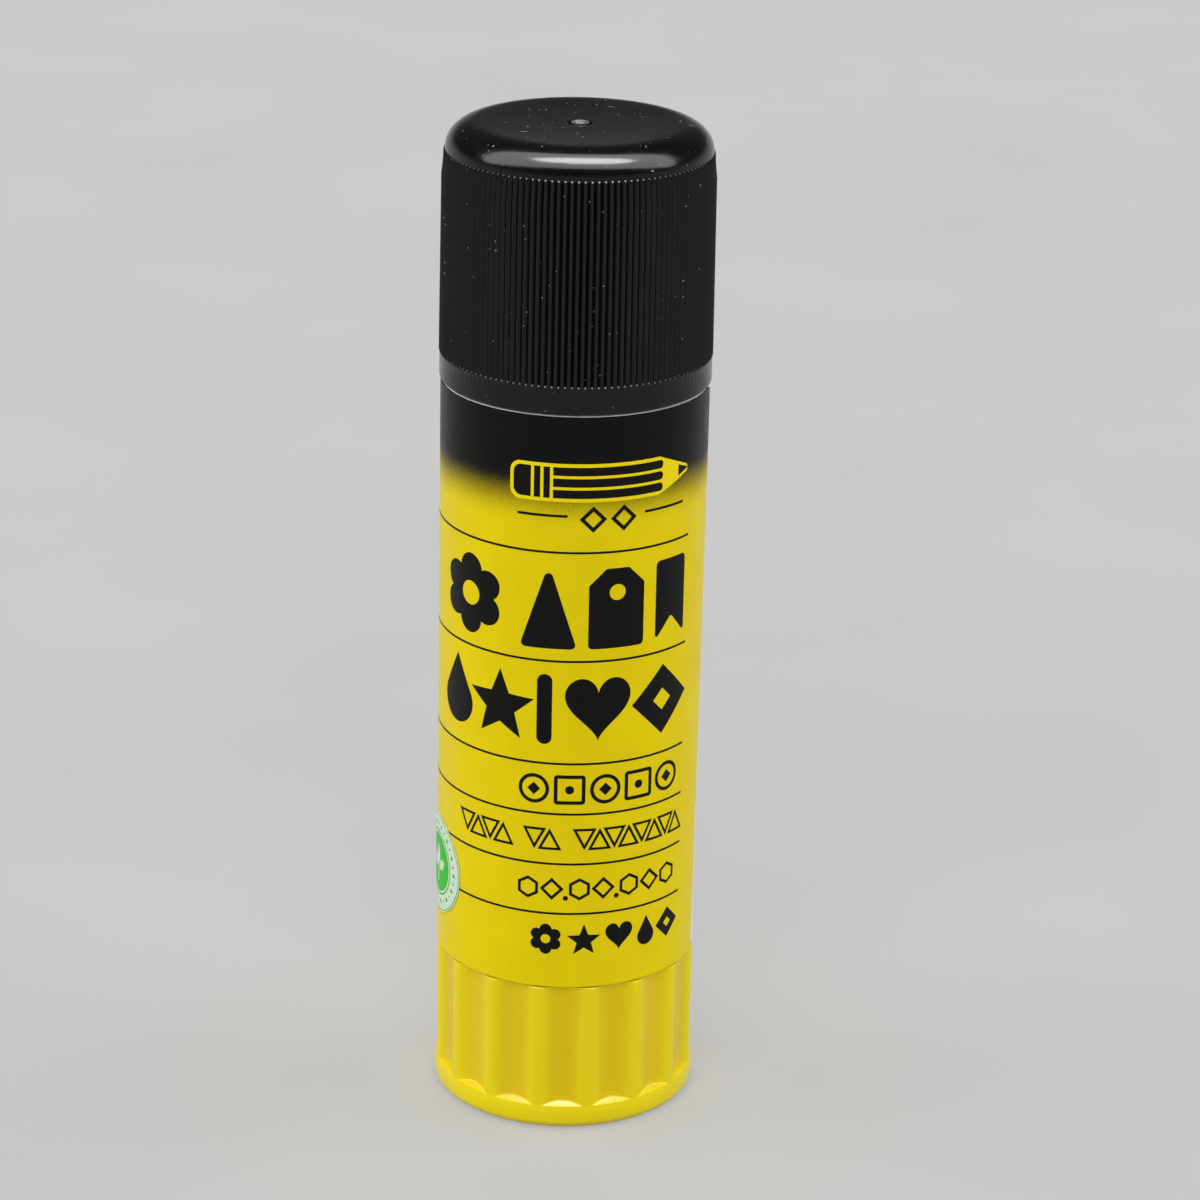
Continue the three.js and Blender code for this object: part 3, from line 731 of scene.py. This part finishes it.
# Film pieces: drawn flat in millimetres (arc length from the front, height), then bent round the barrel.
# The label's ends and the sticker's place are angles from the front, in degrees.
LABEL_THICKNESS = 0.1
LABEL_END_LOW = 76
LABEL_END_HIGH = 84.5
LABEL_START = 97
LABEL_CORNER = 1.5
STICKER_ANGLE = -76.3
STICKER_THICKNESS = 0.08
INK_SUNK = 0.02
INK_PROUD = 0.01
BEND_STEP = 0.4
CUT_TOLERANCE = 1e-5
INK_PER_LAYER = 0.006
FILM_MARGIN = 0.04


def along(degrees):
    """Arc length on the label at an angle from the front."""
    return LABEL_RADIUS * math.radians(degrees)


def circle(centre, radius, points=48):
    """Round outline."""
    return [(centre[0] + radius * math.cos(math.tau * k / points),
             centre[1] + radius * math.sin(math.tau * k / points)) for k in range(points)]


def star(centre, outer, inner, tips):
    """Outline of a star with its first tip up."""
    return [tuple(Vector(centre) + polar(inner if k % 2 else outer, math.pi / 2 + math.pi * k / tips))
            for k in range(2 * tips)]


def regular(centre, radius, sides, start=math.pi / 2):
    """Outline of a regular polygon with its first corner up, or at an angle."""
    return [tuple(Vector(centre) + polar(radius, start + math.tau * k / sides)) for k in range(sides)]


def box_sides(centre, width, height):
    """Left, right, lower and upper side of an upright box."""
    return centre[0] - width / 2, centre[0] + width / 2, centre[1] - height / 2, centre[1] + height / 2


def box_outline(left, right, bottom, top, corner=0.0):
    """Outline of an upright box, its corners rounded if wanted."""
    corners = [(left, bottom), (right, bottom), (right, top), (left, top)]
    return rounded([(*point, corner) for point in corners]) if corner else corners


def shape(bm, outline, hole=None):
    """Flat face inside an outline, or the ring between it and a hole of as many points."""
    loops = []
    for points in (outline, hole):
        if points:
            verts = [bm.verts.new((point[0], point[1], 0)) for point in points]
            loops.append([bm.edges.new((verts[k - 1], verts[k])) for k in range(len(verts))])
    if hole:
        bmesh.ops.bridge_loops(bm, edges=loops[0] + loops[1])
    else:
        bmesh.ops.contextual_create(bm, geom=loops[0])


def frame_shape(bm, outline, stroke):
    """Outline drawn as a line of even width."""
    before = set(bm.faces)
    shape(bm, outline)
    made = [face for face in bm.faces if face not in before]
    bmesh.ops.inset_region(bm, faces=made, thickness=stroke, use_even_offset=True, use_boundary=True)
    bmesh.ops.delete(bm, geom=made, context="FACES_ONLY")


def wrapped(bm, inner, thickness):
    """Cuts flat shapes into narrow strips, gives them a thickness and bends them to a radius."""
    bmesh.ops.recalc_face_normals(bm, faces=bm.faces)
    bmesh.ops.triangulate(bm, faces=bm.faces)
    left = min(vert.co.x for vert in bm.verts)
    right = max(vert.co.x for vert in bm.verts)
    for cut in range(math.ceil(left / BEND_STEP), math.floor(right / BEND_STEP) + 1):
        bmesh.ops.bisect_plane(bm, geom=bm.verts[:] + bm.edges[:] + bm.faces[:], dist=CUT_TOLERANCE,
                               plane_co=(cut * BEND_STEP, 0, 0), plane_no=(1, 0, 0))
    raised = bmesh.ops.extrude_face_region(bm, geom=bm.faces[:], use_keep_orig=True)
    tops = [item for item in raised["geom"] if isinstance(item, bmesh.types.BMVert)]
    bmesh.ops.translate(bm, verts=tops, vec=(0, 0, thickness))
    bmesh.ops.recalc_face_normals(bm, faces=bm.faces)
    for vert in bm.verts:
        angle = vert.co.x / LABEL_RADIUS
        radius = inner + vert.co.z
        vert.co = (radius * math.sin(angle), -radius * math.cos(angle), vert.co.y)


def label(material):
    """Film whose slanted right end and upright start leave a strip of the barrel bare."""
    start = along(LABEL_START - 360)
    bottom = BARREL_BOTTOM + FILM_MARGIN
    top = SHOULDER - FILM_MARGIN
    bm = bmesh.new()
    shape(bm, rounded([
        (start, bottom, LABEL_CORNER / 2),
        (along(LABEL_END_LOW), bottom, LABEL_CORNER / 2),
        (along(LABEL_END_HIGH), top, LABEL_CORNER),
        (start, top, LABEL_CORNER),
    ]))
    wrapped(bm, LABEL_RADIUS - LABEL_THICKNESS, LABEL_THICKNESS)
    piece("printed_label", bm, "barrel", material, "label")


def ink(name, draw, material, layer=0, surface=LABEL_RADIUS):
    """Thin print that a drawing function puts on a film."""
    bm = bmesh.new()
    draw(bm)
    wrapped(bm, surface - INK_SUNK, INK_SUNK + INK_PROUD + INK_PER_LAYER * layer)
    piece(name, bm, "barrel", material)


# Print on the label: heights in millimetres, ends of the thin lines in degrees from the front
RULE_HEIGHTS = (69.39, 56.86, 44.83, 38.83, 32.82, 26.80)
RULE_THICKNESS = 0.26
RULE_RIGHT = 58.4
RULE_LEFT = -112


def rules(bm):
    """Six thin lines across the front."""
    for height in RULE_HEIGHTS:
        shape(bm, box_outline(along(RULE_LEFT), along(RULE_RIGHT), height - RULE_THICKNESS / 2,
                              height + RULE_THICKNESS / 2))


PETALS = 6
FLOWER_WAIST = 0.74
FLOWER_EYE = 0.3
PETAL_BEND = 0.8
FLOWER_POINTS = 96


def flower(bm, centre, radius):
    """Round-petalled flower with an open eye."""
    outline = []
    for k in range(FLOWER_POINTS):
        angle = math.tau * k / FLOWER_POINTS
        petal = abs(math.cos(PETALS * angle / 2)) ** PETAL_BEND
        reach = radius * (FLOWER_WAIST + (1 - FLOWER_WAIST) * petal)
        outline.append(tuple(Vector(centre) + polar(reach, angle + math.pi / 2)))
    shape(bm, outline, regular(centre, radius * FLOWER_EYE, FLOWER_POINTS))


def bookmark(bm, centre, width, height):
    """Ribbon bookmark with a notched foot."""
    left, right, low, top = box_sides(centre, width, height)
    notch = height * 0.28
    shape(bm, rounded([(left, low, 0.25), (centre[0], low + notch, 0.3), (right, low, 0.25),
                       (right, top, 0.6), (left, top, 0.6)]))


def drop(bm, centre, width, height):
    """Drop: an arc with straight sides that meet in a tip."""
    radius = width / 2
    low = centre[1] - height / 2 + radius
    tip = centre[1] + height / 2
    lean = math.asin(radius / (tip - low))
    steps = 40
    arc = [(centre[0] + radius * math.cos(angle), low + radius * math.sin(angle))
           for angle in (lean - (math.pi + 2 * lean) * k / steps for k in range(steps + 1))]
    shape(bm, [(centre[0], tip), *arc])


def heart(bm, centre, width, height):
    """Heart on the well-known curve of cosines, which is 29 units tall."""
    steps = 72
    points = []
    for angle in (math.tau * k / steps for k in range(steps)):
        across = math.sin(angle) ** 3
        up = 13 * math.cos(angle) - 5 * math.cos(2 * angle) - 2 * math.cos(3 * angle) - math.cos(4 * angle)
        points.append((centre[0] + width / 2 * across, centre[1] + height / 2 * (up / 14.5 + 0.17)))
    shape(bm, points)


def tag(bm, centre, width, height):
    """Gift tag with cut upper corners and a round hole."""
    left, right, low, top = box_sides(centre, width, height)
    cut = width * 0.3
    outline = rounded([(left, low, 0.5), (right, low, 0.5), (right, top - cut, 0.4), (right - cut, top, 0.4),
                       (left + cut, top, 0.4), (left, top - cut, 0.4)])
    eye = (centre[0], top - height * 0.3)
    first = Vector(outline[0]) - Vector(eye)
    shape(bm, outline, regular(eye, height * 0.1, len(outline), start=math.atan2(first.y, first.x)))


# Heights and sizes of the rows of print; a shape's place along its row is given where it is drawn
BIG_ROW_ONE = 62.9
BIG_ROW_ONE_HEIGHT = 9.2
BIG_ROW_TWO = 51.2
BIG_ROW_TWO_HEIGHT = 8.2


def big_shapes(bm):
    """Two rows of bold craft shapes."""
    half_one = BIG_ROW_ONE_HEIGHT / 2
    half_two = BIG_ROW_TWO_HEIGHT / 2
    foot = BIG_ROW_ONE - half_one
    flower(bm, (-12.4, BIG_ROW_ONE), half_one)
    shape(bm, rounded([(-5.7, foot, 0.5), (0.7, foot, 0.5), (-2.5, foot + BIG_ROW_ONE_HEIGHT + 0.6, 0.5)]))
    tag(bm, (5.1, BIG_ROW_ONE), 6.4, BIG_ROW_ONE_HEIGHT)
    bookmark(bm, (12.2, BIG_ROW_ONE), 4.6, BIG_ROW_ONE_HEIGHT)
    drop(bm, (-14.6, BIG_ROW_TWO), 5.4, BIG_ROW_TWO_HEIGHT)
    shape(bm, star((-8.0, BIG_ROW_TWO - 0.3), outer=4.3, inner=1.9, tips=5))
    shape(bm, box_outline(-3.6, -1.9, BIG_ROW_TWO - half_two, BIG_ROW_TWO + half_two, corner=0.84))
    heart(bm, (3.2, BIG_ROW_TWO), 7.4, 7.4)
    shape(bm, regular((11.2, BIG_ROW_TWO), 4.1, 4), regular((11.2, BIG_ROW_TWO), 1.3, 4))


ICON_ROW = 41.75
ICON_LEFT = -3.8
ICON_PITCH = 4.0
ICON_SIZE = 3.5
ICON_STROKE = 0.42
CELL_ROW = 29.8
CELL_PITCH = 2.7
CELL_RADIUS = 1.35
CELL_STROKE = 0.34
CELL_DOT_ROW = 28.7
CELL_DOT_RADIUS = 0.3


def icon_rows(bm):
    """Thin outlined icons: rings and squares, and smaller hexagons and lozenges in three groups."""
    for k in range(5):
        middle = (ICON_LEFT + ICON_PITCH * k, ICON_ROW)
        if k % 2:
            frame_shape(bm, box_outline(*box_sides(middle, ICON_SIZE, ICON_SIZE), corner=0.4), ICON_STROKE)
            shape(bm, circle(middle, 0.5, 20))
        else:
            frame_shape(bm, circle(middle, ICON_SIZE / 2), ICON_STROKE)
            shape(bm, regular(middle, 0.75, 4))
    for start, count in ((-4.3, 2), (1.5, 2), (7.3, 3)):
        for k in range(count):
            cell = regular((start + CELL_PITCH * k, CELL_ROW), CELL_RADIUS, 4 if k % 2 else 6)
            frame_shape(bm, cell, CELL_STROKE)
    for place in (-0.05, 5.75):
        shape(bm, circle((place, CELL_DOT_ROW), CELL_DOT_RADIUS, 16))


BUNTING_LOW = 34.5
BUNTING_HIGH = 37.1
BUNTING_WIDTH = 2.7
BUNTING_PITCH = 1.72
BUNTING_STROKE = 0.3


def bunting(bm):
    """Row of small outlined triangles, point down and point up by turns, in three groups."""
    for start, count in ((-13.9, 4), (-5.0, 2), (0.6, 8)):
        for k in range(count):
            left = start + BUNTING_PITCH * k
            foot, tip = (BUNTING_LOW, BUNTING_HIGH) if k % 2 else (BUNTING_HIGH, BUNTING_LOW)
            outline = [(left, foot), (left + BUNTING_WIDTH, foot), (left + BUNTING_WIDTH / 2, tip)]
            frame_shape(bm, outline, BUNTING_STROKE)


SMALL_ROW = 23.65


def small_shapes(bm):
    """Last row: a flower, a star, a heart, a drop and a lozenge, all small and solid."""
    flower(bm, (-2.2, SMALL_ROW), 1.85)
    shape(bm, star((2.1, SMALL_ROW - 0.15), outer=2.0, inner=0.85, tips=5))
    heart(bm, (6.2, SMALL_ROW), 3.3, 3.3)
    drop(bm, (9.7, SMALL_ROW), 2.3, 3.6)
    shape(bm, regular((13.0, SMALL_ROW), 1.85, 4), regular((13.0, SMALL_ROW), 0.6, 4))


# Pencil: ends in degrees from the front, parts in millimetres from its rubber's end
PENCIL_LEFT = -25.7
PENCIL_RIGHT = 56.3
PENCIL_MIDDLE = 77.3
PENCIL_HALF = 1.75
PENCIL_RUBBER = 2
PENCIL_BANDS = ((2.35, 3.05), (3.4, 4.1))
PENCIL_PAINT = 4.45
PENCIL_FACES = 3
PENCIL_CONE = 4.6
PENCIL_LEAD = 1.7
PENCIL_LINE = 0.32
PENCIL_OUTLINE = 0.4
PENCIL_BEND = 0.9
PENCIL_GROUND_BEND = 1.2
PENCIL_TIP_BEND = 0.5
PENCIL_SCALLOP = 0.5


def pencil_ground(bm):
    """Outline of the whole pencil, a little larger all round."""
    left = along(PENCIL_LEFT) - PENCIL_OUTLINE
    tip = along(PENCIL_RIGHT) + 2 * PENCIL_OUTLINE
    shoulder = along(PENCIL_RIGHT) - PENCIL_CONE
    low = PENCIL_MIDDLE - PENCIL_HALF - PENCIL_OUTLINE
    high = PENCIL_MIDDLE + PENCIL_HALF + PENCIL_OUTLINE
    shape(bm, rounded([
        (left, low, PENCIL_GROUND_BEND),
        (shoulder, low, PENCIL_TIP_BEND),
        (tip, PENCIL_MIDDLE, PENCIL_TIP_BEND),
        (shoulder, high, PENCIL_TIP_BEND),
        (left, high, PENCIL_GROUND_BEND),
    ]))


def pencil(bm):
    """Rubber, ferrule, three painted faces and lead of the pencil."""
    left = along(PENCIL_LEFT)
    tip = along(PENCIL_RIGHT)
    low = PENCIL_MIDDLE - PENCIL_HALF
    high = PENCIL_MIDDLE + PENCIL_HALF
    rubber = left + PENCIL_RUBBER
    shape(bm, rounded([(left, low, PENCIL_BEND), (rubber, low), (rubber, high), (left, high, PENCIL_BEND)]))
    for start, end in PENCIL_BANDS:
        shape(bm, box_outline(left + start, left + end, low, high))
    face = (2 * PENCIL_HALF - (PENCIL_FACES - 1) * PENCIL_LINE) / PENCIL_FACES
    bend = face * 0.45
    start = left + PENCIL_PAINT
    end = tip - PENCIL_CONE + PENCIL_SCALLOP
    for k in range(PENCIL_FACES):
        foot = low + k * (face + PENCIL_LINE)
        top = foot + face
        shape(bm, rounded([(start, foot), (end, foot, bend), (end, top, bend), (start, top)]))
    slope = PENCIL_HALF / PENCIL_CONE * PENCIL_LEAD
    lead = tip - PENCIL_LEAD
    shape(bm, [(lead, PENCIL_MIDDLE - slope), (tip, PENCIL_MIDDLE), (lead, PENCIL_MIDDLE + slope)])


DASHES = ((-23.7, -2.2), (31.6, 53.3))
DASH_LOW = 73.4
DASH_HIGH = 73.7
DIAMOND_ROW = 73.2
DIAMOND_LEFT = 8.6
DIAMOND_PITCH = 3.4
DIAMOND_RADIUS = 1.5


def dashes(bm):
    """Two dashes with a pair of small outlined diamonds between them."""
    for left, right in DASHES:
        shape(bm, box_outline(along(left), along(right), DASH_LOW, DASH_HIGH))
    for k in range(2):
        middle = (along(DIAMOND_LEFT) + DIAMOND_PITCH * k, DIAMOND_ROW)
        frame_shape(bm, regular(middle, DIAMOND_RADIUS, 4), ICON_STROKE)


BACK_MIDDLE = -172
BACK_HALF_WIDTH = 10.5
BACK_BOTTOM = 27
BACK_TOP = 67
BACK_BARS = (0.6, 1, 0.92, 0.97, 0.55, 0.9, 1, 0.7)
BACK_FIRST_BAR = 3
BACK_PITCH = 2.9
BACK_MARGIN = 2
BACK_SHAPE_ROW = 6
BACK_SHAPE_PITCH = 6.1


def back_panel(bm):
    """Guessed print on the side away from the camera: a frame with plain bars and three craft shapes."""
    centre = along(BACK_MIDDLE)
    left = centre - BACK_HALF_WIDTH
    right = centre + BACK_HALF_WIDTH
    frame_shape(bm, box_outline(left, right, BACK_BOTTOM, BACK_TOP, 1.5), 0.3)
    start = left + BACK_MARGIN
    reach = 2 * (BACK_HALF_WIDTH - BACK_MARGIN)
    for k, share in enumerate(BACK_BARS):
        top = BACK_TOP - BACK_FIRST_BAR - BACK_PITCH * k
        thick = 0.8 if k else 1.7
        shape(bm, box_outline(start, start + reach * share, top - thick, top, 0.3))
    row = BACK_BOTTOM + BACK_SHAPE_ROW
    flower(bm, (centre - BACK_SHAPE_PITCH, row), 2.4)
    heart(bm, (centre, row), 4.2, 4.2)
    shape(bm, star((centre + BACK_SHAPE_PITCH, row), outer=2.6, inner=1.1, tips=5))


def print_on_label(black, yellow):
    """Every print on the label, the pencil's black over its yellow ground."""
    ink("label_rules", rules, black)
    ink("label_big_shapes", big_shapes, black)
    ink("label_icons", icon_rows, black)
    ink("label_bunting", bunting, black)
    ink("label_small_shapes", small_shapes, black)
    ink("label_back", back_panel, black)
    ink("label_dashes", dashes, black)
    ink("label_pencil_ground", pencil_ground, yellow)
    ink("label_pencil", pencil, black, layer=1)


# Sticker: radii from its centre, and leaves of the sprig
EDGE_LINE = (STICKER_RADIUS - 0.12, STICKER_RADIUS - 0.26)
DISC_LINE = (3.9, 3.7)
DISC_RADIUS = 3.45
WREATH_RADIUS = 4.65
WREATH_DOTS = 28
DOT_LARGE = 0.26
DOT_SMALL = 0.17
SPRIG_DROP = 0.9
SPRIG_GAP = 0.35
LEAF_TURN = 0.95
LEAF_HALF_WIDTH = 0.62
LEAF_STEPS = 14
MIDDLE_LEAF = 2.8
SIDE_LEAF = 2.3
STALK_HALF = 0.14
STALK_DROP = 2.4
STALK_TOP = 0.7


def sticker(film, green):
    """Round sticker over the label, with a ring, a wreath of dots and a disc with a sprig."""
    centre = (along(STICKER_ANGLE), STICKER_HEIGHT)
    outside = LABEL_RADIUS + FILM_GAP + STICKER_THICKNESS
    bm = bmesh.new()
    shape(bm, circle(centre, STICKER_RADIUS, 96))
    wrapped(bm, outside - STICKER_THICKNESS, STICKER_THICKNESS)
    piece("round_sticker", bm, "barrel", film, "sticker")

    def green_print(bm):
        shape(bm, *[circle(centre, radius, 96) for radius in EDGE_LINE])
        shape(bm, *[circle(centre, radius, 72) for radius in DISC_LINE])
        shape(bm, circle(centre, DISC_RADIUS, 72))
        for k in range(WREATH_DOTS):
            middle = Vector(centre) + polar(WREATH_RADIUS, math.tau * k / WREATH_DOTS)
            shape(bm, circle(middle, DOT_SMALL if k % 2 else DOT_LARGE, 14))

    def sprig(bm):
        foot = Vector((centre[0], centre[1] - SPRIG_DROP))
        for side in (-1, 0, 1):
            direction = polar(1, math.pi / 2 - side * LEAF_TURN)
            across = Vector((direction.y, -direction.x)) * LEAF_HALF_WIDTH
            base = foot + direction * SPRIG_GAP
            length = SIDE_LEAF if side else MIDDLE_LEAF
            shares = [k / LEAF_STEPS for k in range(LEAF_STEPS + 1)]
            right = [base + direction * (length * k) + across * math.sin(math.pi * k) for k in shares]
            left = [base + direction * (length * k) - across * math.sin(math.pi * k) for k in shares[-2:0:-1]]
            shape(bm, right + left)
        shape(bm, box_outline(centre[0] - STALK_HALF, centre[0] + STALK_HALF, centre[1] - STALK_DROP,
                              centre[1] - STALK_TOP))

    ink("sticker_green", green_print, green, surface=outside)
    ink("sticker_sprig", sprig, film, layer=1, surface=outside)


# Glue
GLUE_EDGE = 0.6
CARRIER_WALL = 1.2
CARRIER_FLOOR = 1.6
NUT_RADIUS = 5.6
NUT_RISE = 4.4
THREAD_CREST = 3.6
GLUE_BORE_EDGE = 0.3
GLUE_FACE_ROWS = 12
GLUE_SIDE_ROW = 4
WORN_BAND = 0.4
WORN_DEEP = 0.12
WORN_SMEAR = 0.14
WORN_FINE = 0.03
SMEAR_SCALE = (0.35, 0.12)
FINE_SCALE = (1.6, 0.5)
GLUE_STEPS = 256


def glue(material):
    """Cast stick of glue round the screw, its end a little worn."""
    floor = CARRIER_LOW.z + CARRIER_FLOOR
    in_cup = GLUE_RADIUS - CARRIER_WALL - SLIDING_GAP
    round_nut = NUT_RADIUS + SLIDING_GAP
    over_nut = floor + NUT_RISE + SLIDING_GAP
    round_screw = THREAD_CREST + SLIDING_GAP
    over_rim = CARRIER_HIGH.z + SLIDING_GAP
    face_out = GLUE_RADIUS - GLUE_EDGE
    face_in = round_screw + GLUE_BORE_EDGE
    face = [(face_out - (face_out - face_in) * row / GLUE_FACE_ROWS, GLUE_TOP)
            for row in range(1, GLUE_FACE_ROWS + 1)]
    profile = [
        (round_nut, floor),
        (in_cup, floor),
        (in_cup, over_rim),
        (GLUE_RADIUS, over_rim),
        (GLUE_RADIUS, over_rim + GLUE_SIDE_ROW),
        (GLUE_RADIUS, over_rim + 2 * GLUE_SIDE_ROW),
        *elliptic((face_out, GLUE_TOP - GLUE_EDGE), GLUE_EDGE, GLUE_EDGE, 0, 90, 7),
        *face,
        *elliptic((face_in, GLUE_TOP - GLUE_BORE_EDGE), GLUE_BORE_EDGE, GLUE_BORE_EDGE, 90, 180, 4),
        (round_screw, over_nut),
        (round_nut, over_nut),
    ]
    bm = turned(profile, GLUE_STEPS)
    slot_floor = BORE_RADIUS - GUIDE_HEIGHT - SLIDING_GAP

    def rule(radius, angle, height):
        on_side = radius > slot_floor and height > over_rim - WELD
        share = guide_share(angle, GLUE_RADIUS, GUIDE_WIDTH + 2 * SLIDING_GAP)
        return slot_floor if on_side and share else radius

    reshape(bm, rule)
    for vert in bm.verts:
        if vert.co.z > GLUE_TOP - WORN_BAND:
            smear = noise.noise(Vector((vert.co.x * SMEAR_SCALE[0], vert.co.y * SMEAR_SCALE[1], 7.3)))
            fine = noise.noise(Vector((vert.co.x * FINE_SCALE[0], vert.co.y * FINE_SCALE[1], 2.1)))
            vert.co.z -= WORN_DEEP + WORN_SMEAR * smear + WORN_FINE * fine
    piece("glue_stick", bm, "lift", material, "glue", sharp=35)


def dress_node(name, material):
    """Gives a CAD node its finish."""
    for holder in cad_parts[name].material_slots:
        holder.material = material


# Studio: levels of light from 0 to 1, angles in degrees, lengths in metres
WHITE = (1, 1, 1, 1)
FLOOR_GREY = (0.27, 0.27, 0.27)
FLOOR_PALE = (0.29, 0.29, 0.29)
FLOOR_SHOWN = 0.27
FLOOR_HALF = 12
AMBIENT = 0.42
HORIZON = 0.5
OVERHEAD = 0.07
SOFT_ANGLE = 60


def pale_floor():
    """Wide floor that looks evenly pale, however the lamps fall on it."""
    bm = bmesh.new()
    bmesh.ops.create_grid(bm, x_segments=1, y_segments=1, size=FLOOR_HALF)
    paper = Finish("floor_paper", FLOOR_GREY, roughness=0.9, specular=0)
    paper.give("Base Color", paper.blend(paper.cloud(60, 2), FLOOR_GREY, FLOOR_PALE))
    paper.give("Emission Color", WHITE)
    paper.give("Emission Strength", paper.calc("MULTIPLY", paper.shown(), FLOOR_SHOWN))
    in_mesh("floor", bm, paper.material)


def surround():
    """Plain soft light on every side; what gloss mirrors of it is pale at the horizon and dark above."""
    world = bpy.data.worlds.new("studio_surround")
    bpy.context.scene.world = world
    sky = Nodes(world)
    soft = sky.tree.nodes["Background"]
    sky.feed(soft.inputs["Color"], WHITE)
    sky.feed(soft.inputs["Strength"], AMBIENT)
    mirrored = sky.add("ShaderNodeBackground")
    sky.feed(mirrored.inputs["Color"], WHITE)
    rise = sky.axis_part(sky.add("ShaderNodeTexCoord").outputs["Generated"], "Z")
    sky.feed(mirrored.inputs["Strength"], sky.spread(rise, low=0.05, high=0.2, start=HORIZON, end=OVERHEAD))
    mix = sky.add("ShaderNodeMixShader")
    for socket, value in zip(mix.inputs, (sky.shown(), soft.outputs[0], mirrored.outputs[0])):
        sky.feed(socket, value)
    sky.feed(sky.tree.nodes["World Output"].inputs["Surface"], mix.outputs[0])


def studio():
    """Pale floor, plain soft lamps and a pale surround."""
    bpy.context.scene.view_settings.view_transform = "Standard"
    pale_floor()
    surround()
    soft_sun("front_light", azimuth=-10, elevation=32, level=0.48)
    soft_sun("left_light", azimuth=-95, elevation=20, level=0.5)
    soft_sun("right_light", azimuth=95, elevation=20, level=0.53)
    soft_sun("back_light", azimuth=180, elevation=20, level=0.35)
    gloss_lamp("gloss_panel", (0, -0.2, 0.63), width=4.4, depth=0.72, power=40)
    gloss_lamp("gloss_core", (0.03, -0.13, 0.62), width=0.58, depth=0.24, power=7.3)


def place_lamp(name, lamp, only):
    """Puts a lamp in the scene that lights only diffuse or only glossy surfaces."""
    thing = in_scene(name, lamp)
    thing.visible_camera = False
    thing.visible_diffuse = only == "diffuse"
    thing.visible_glossy = only == "glossy"
    return thing


def soft_sun(name, azimuth, elevation, level):
    """Wide soft light from one side; level 1 shows a white surface that faces it as white."""
    lamp = bpy.data.lights.new(name, "SUN")
    lamp.angle = math.radians(SOFT_ANGLE)
    lamp.energy = math.pi * level
    turn = math.radians(azimuth)
    rise = math.radians(elevation)
    source = Vector((math.sin(turn) * math.cos(rise), -math.cos(turn) * math.cos(rise), math.sin(rise)))
    place_lamp(name, lamp, "diffuse").rotation_euler = source.to_track_quat("Z", "Y").to_euler()


def gloss_lamp(name, place, width, depth, power):
    """Lamp overhead that draws the highlights and adds no other light."""
    lamp = bpy.data.lights.new(name, "AREA")
    lamp.shape = "ELLIPSE"
    lamp.size = width
    lamp.size_y = depth
    lamp.energy = power
    place_lamp(name, lamp, "glossy").location = place


def camera():
    """Camera at the photograph's place and angle."""
    lens = bpy.data.cameras.new("camera")
    lens.sensor_width = SENSOR_WIDTH
    lens.lens = CAMERA_LENS
    lens.clip_start = 0.01
    thing = in_scene("camera", lens)
    turn = (Matrix.Rotation(math.radians(-CAMERA_YAW), 4, "Z")
            @ Matrix.Rotation(math.radians(90 - CAMERA_PITCH), 4, "X")
            @ Matrix.Rotation(math.radians(CAMERA_ROLL), 4, "Z"))
    thing.location = (0, -CAMERA_BACK, CAMERA_HEIGHT)
    thing.rotation_euler = turn.to_euler()
    bpy.context.scene.camera = thing


natural_white = white_plastic("natural_plastic", NATURAL_PLASTIC)
film_white = sticker_film()

base_knob(yellow_plastic())
barrel(white_plastic("barrel_plastic", WHITE_PLASTIC))
label(label_film())
print_on_label(print_ink("black_ink", PRINT_BLACK), print_ink("yellow_ink", FILM_YELLOW))
sticker(film_white, print_ink("green_ink", STICKER_GREEN))
cap(black_plastic())
glue(waxy_glue())
dress_node("carrier", natural_white)
dress_node("spindle", natural_white)
camera()
studio()
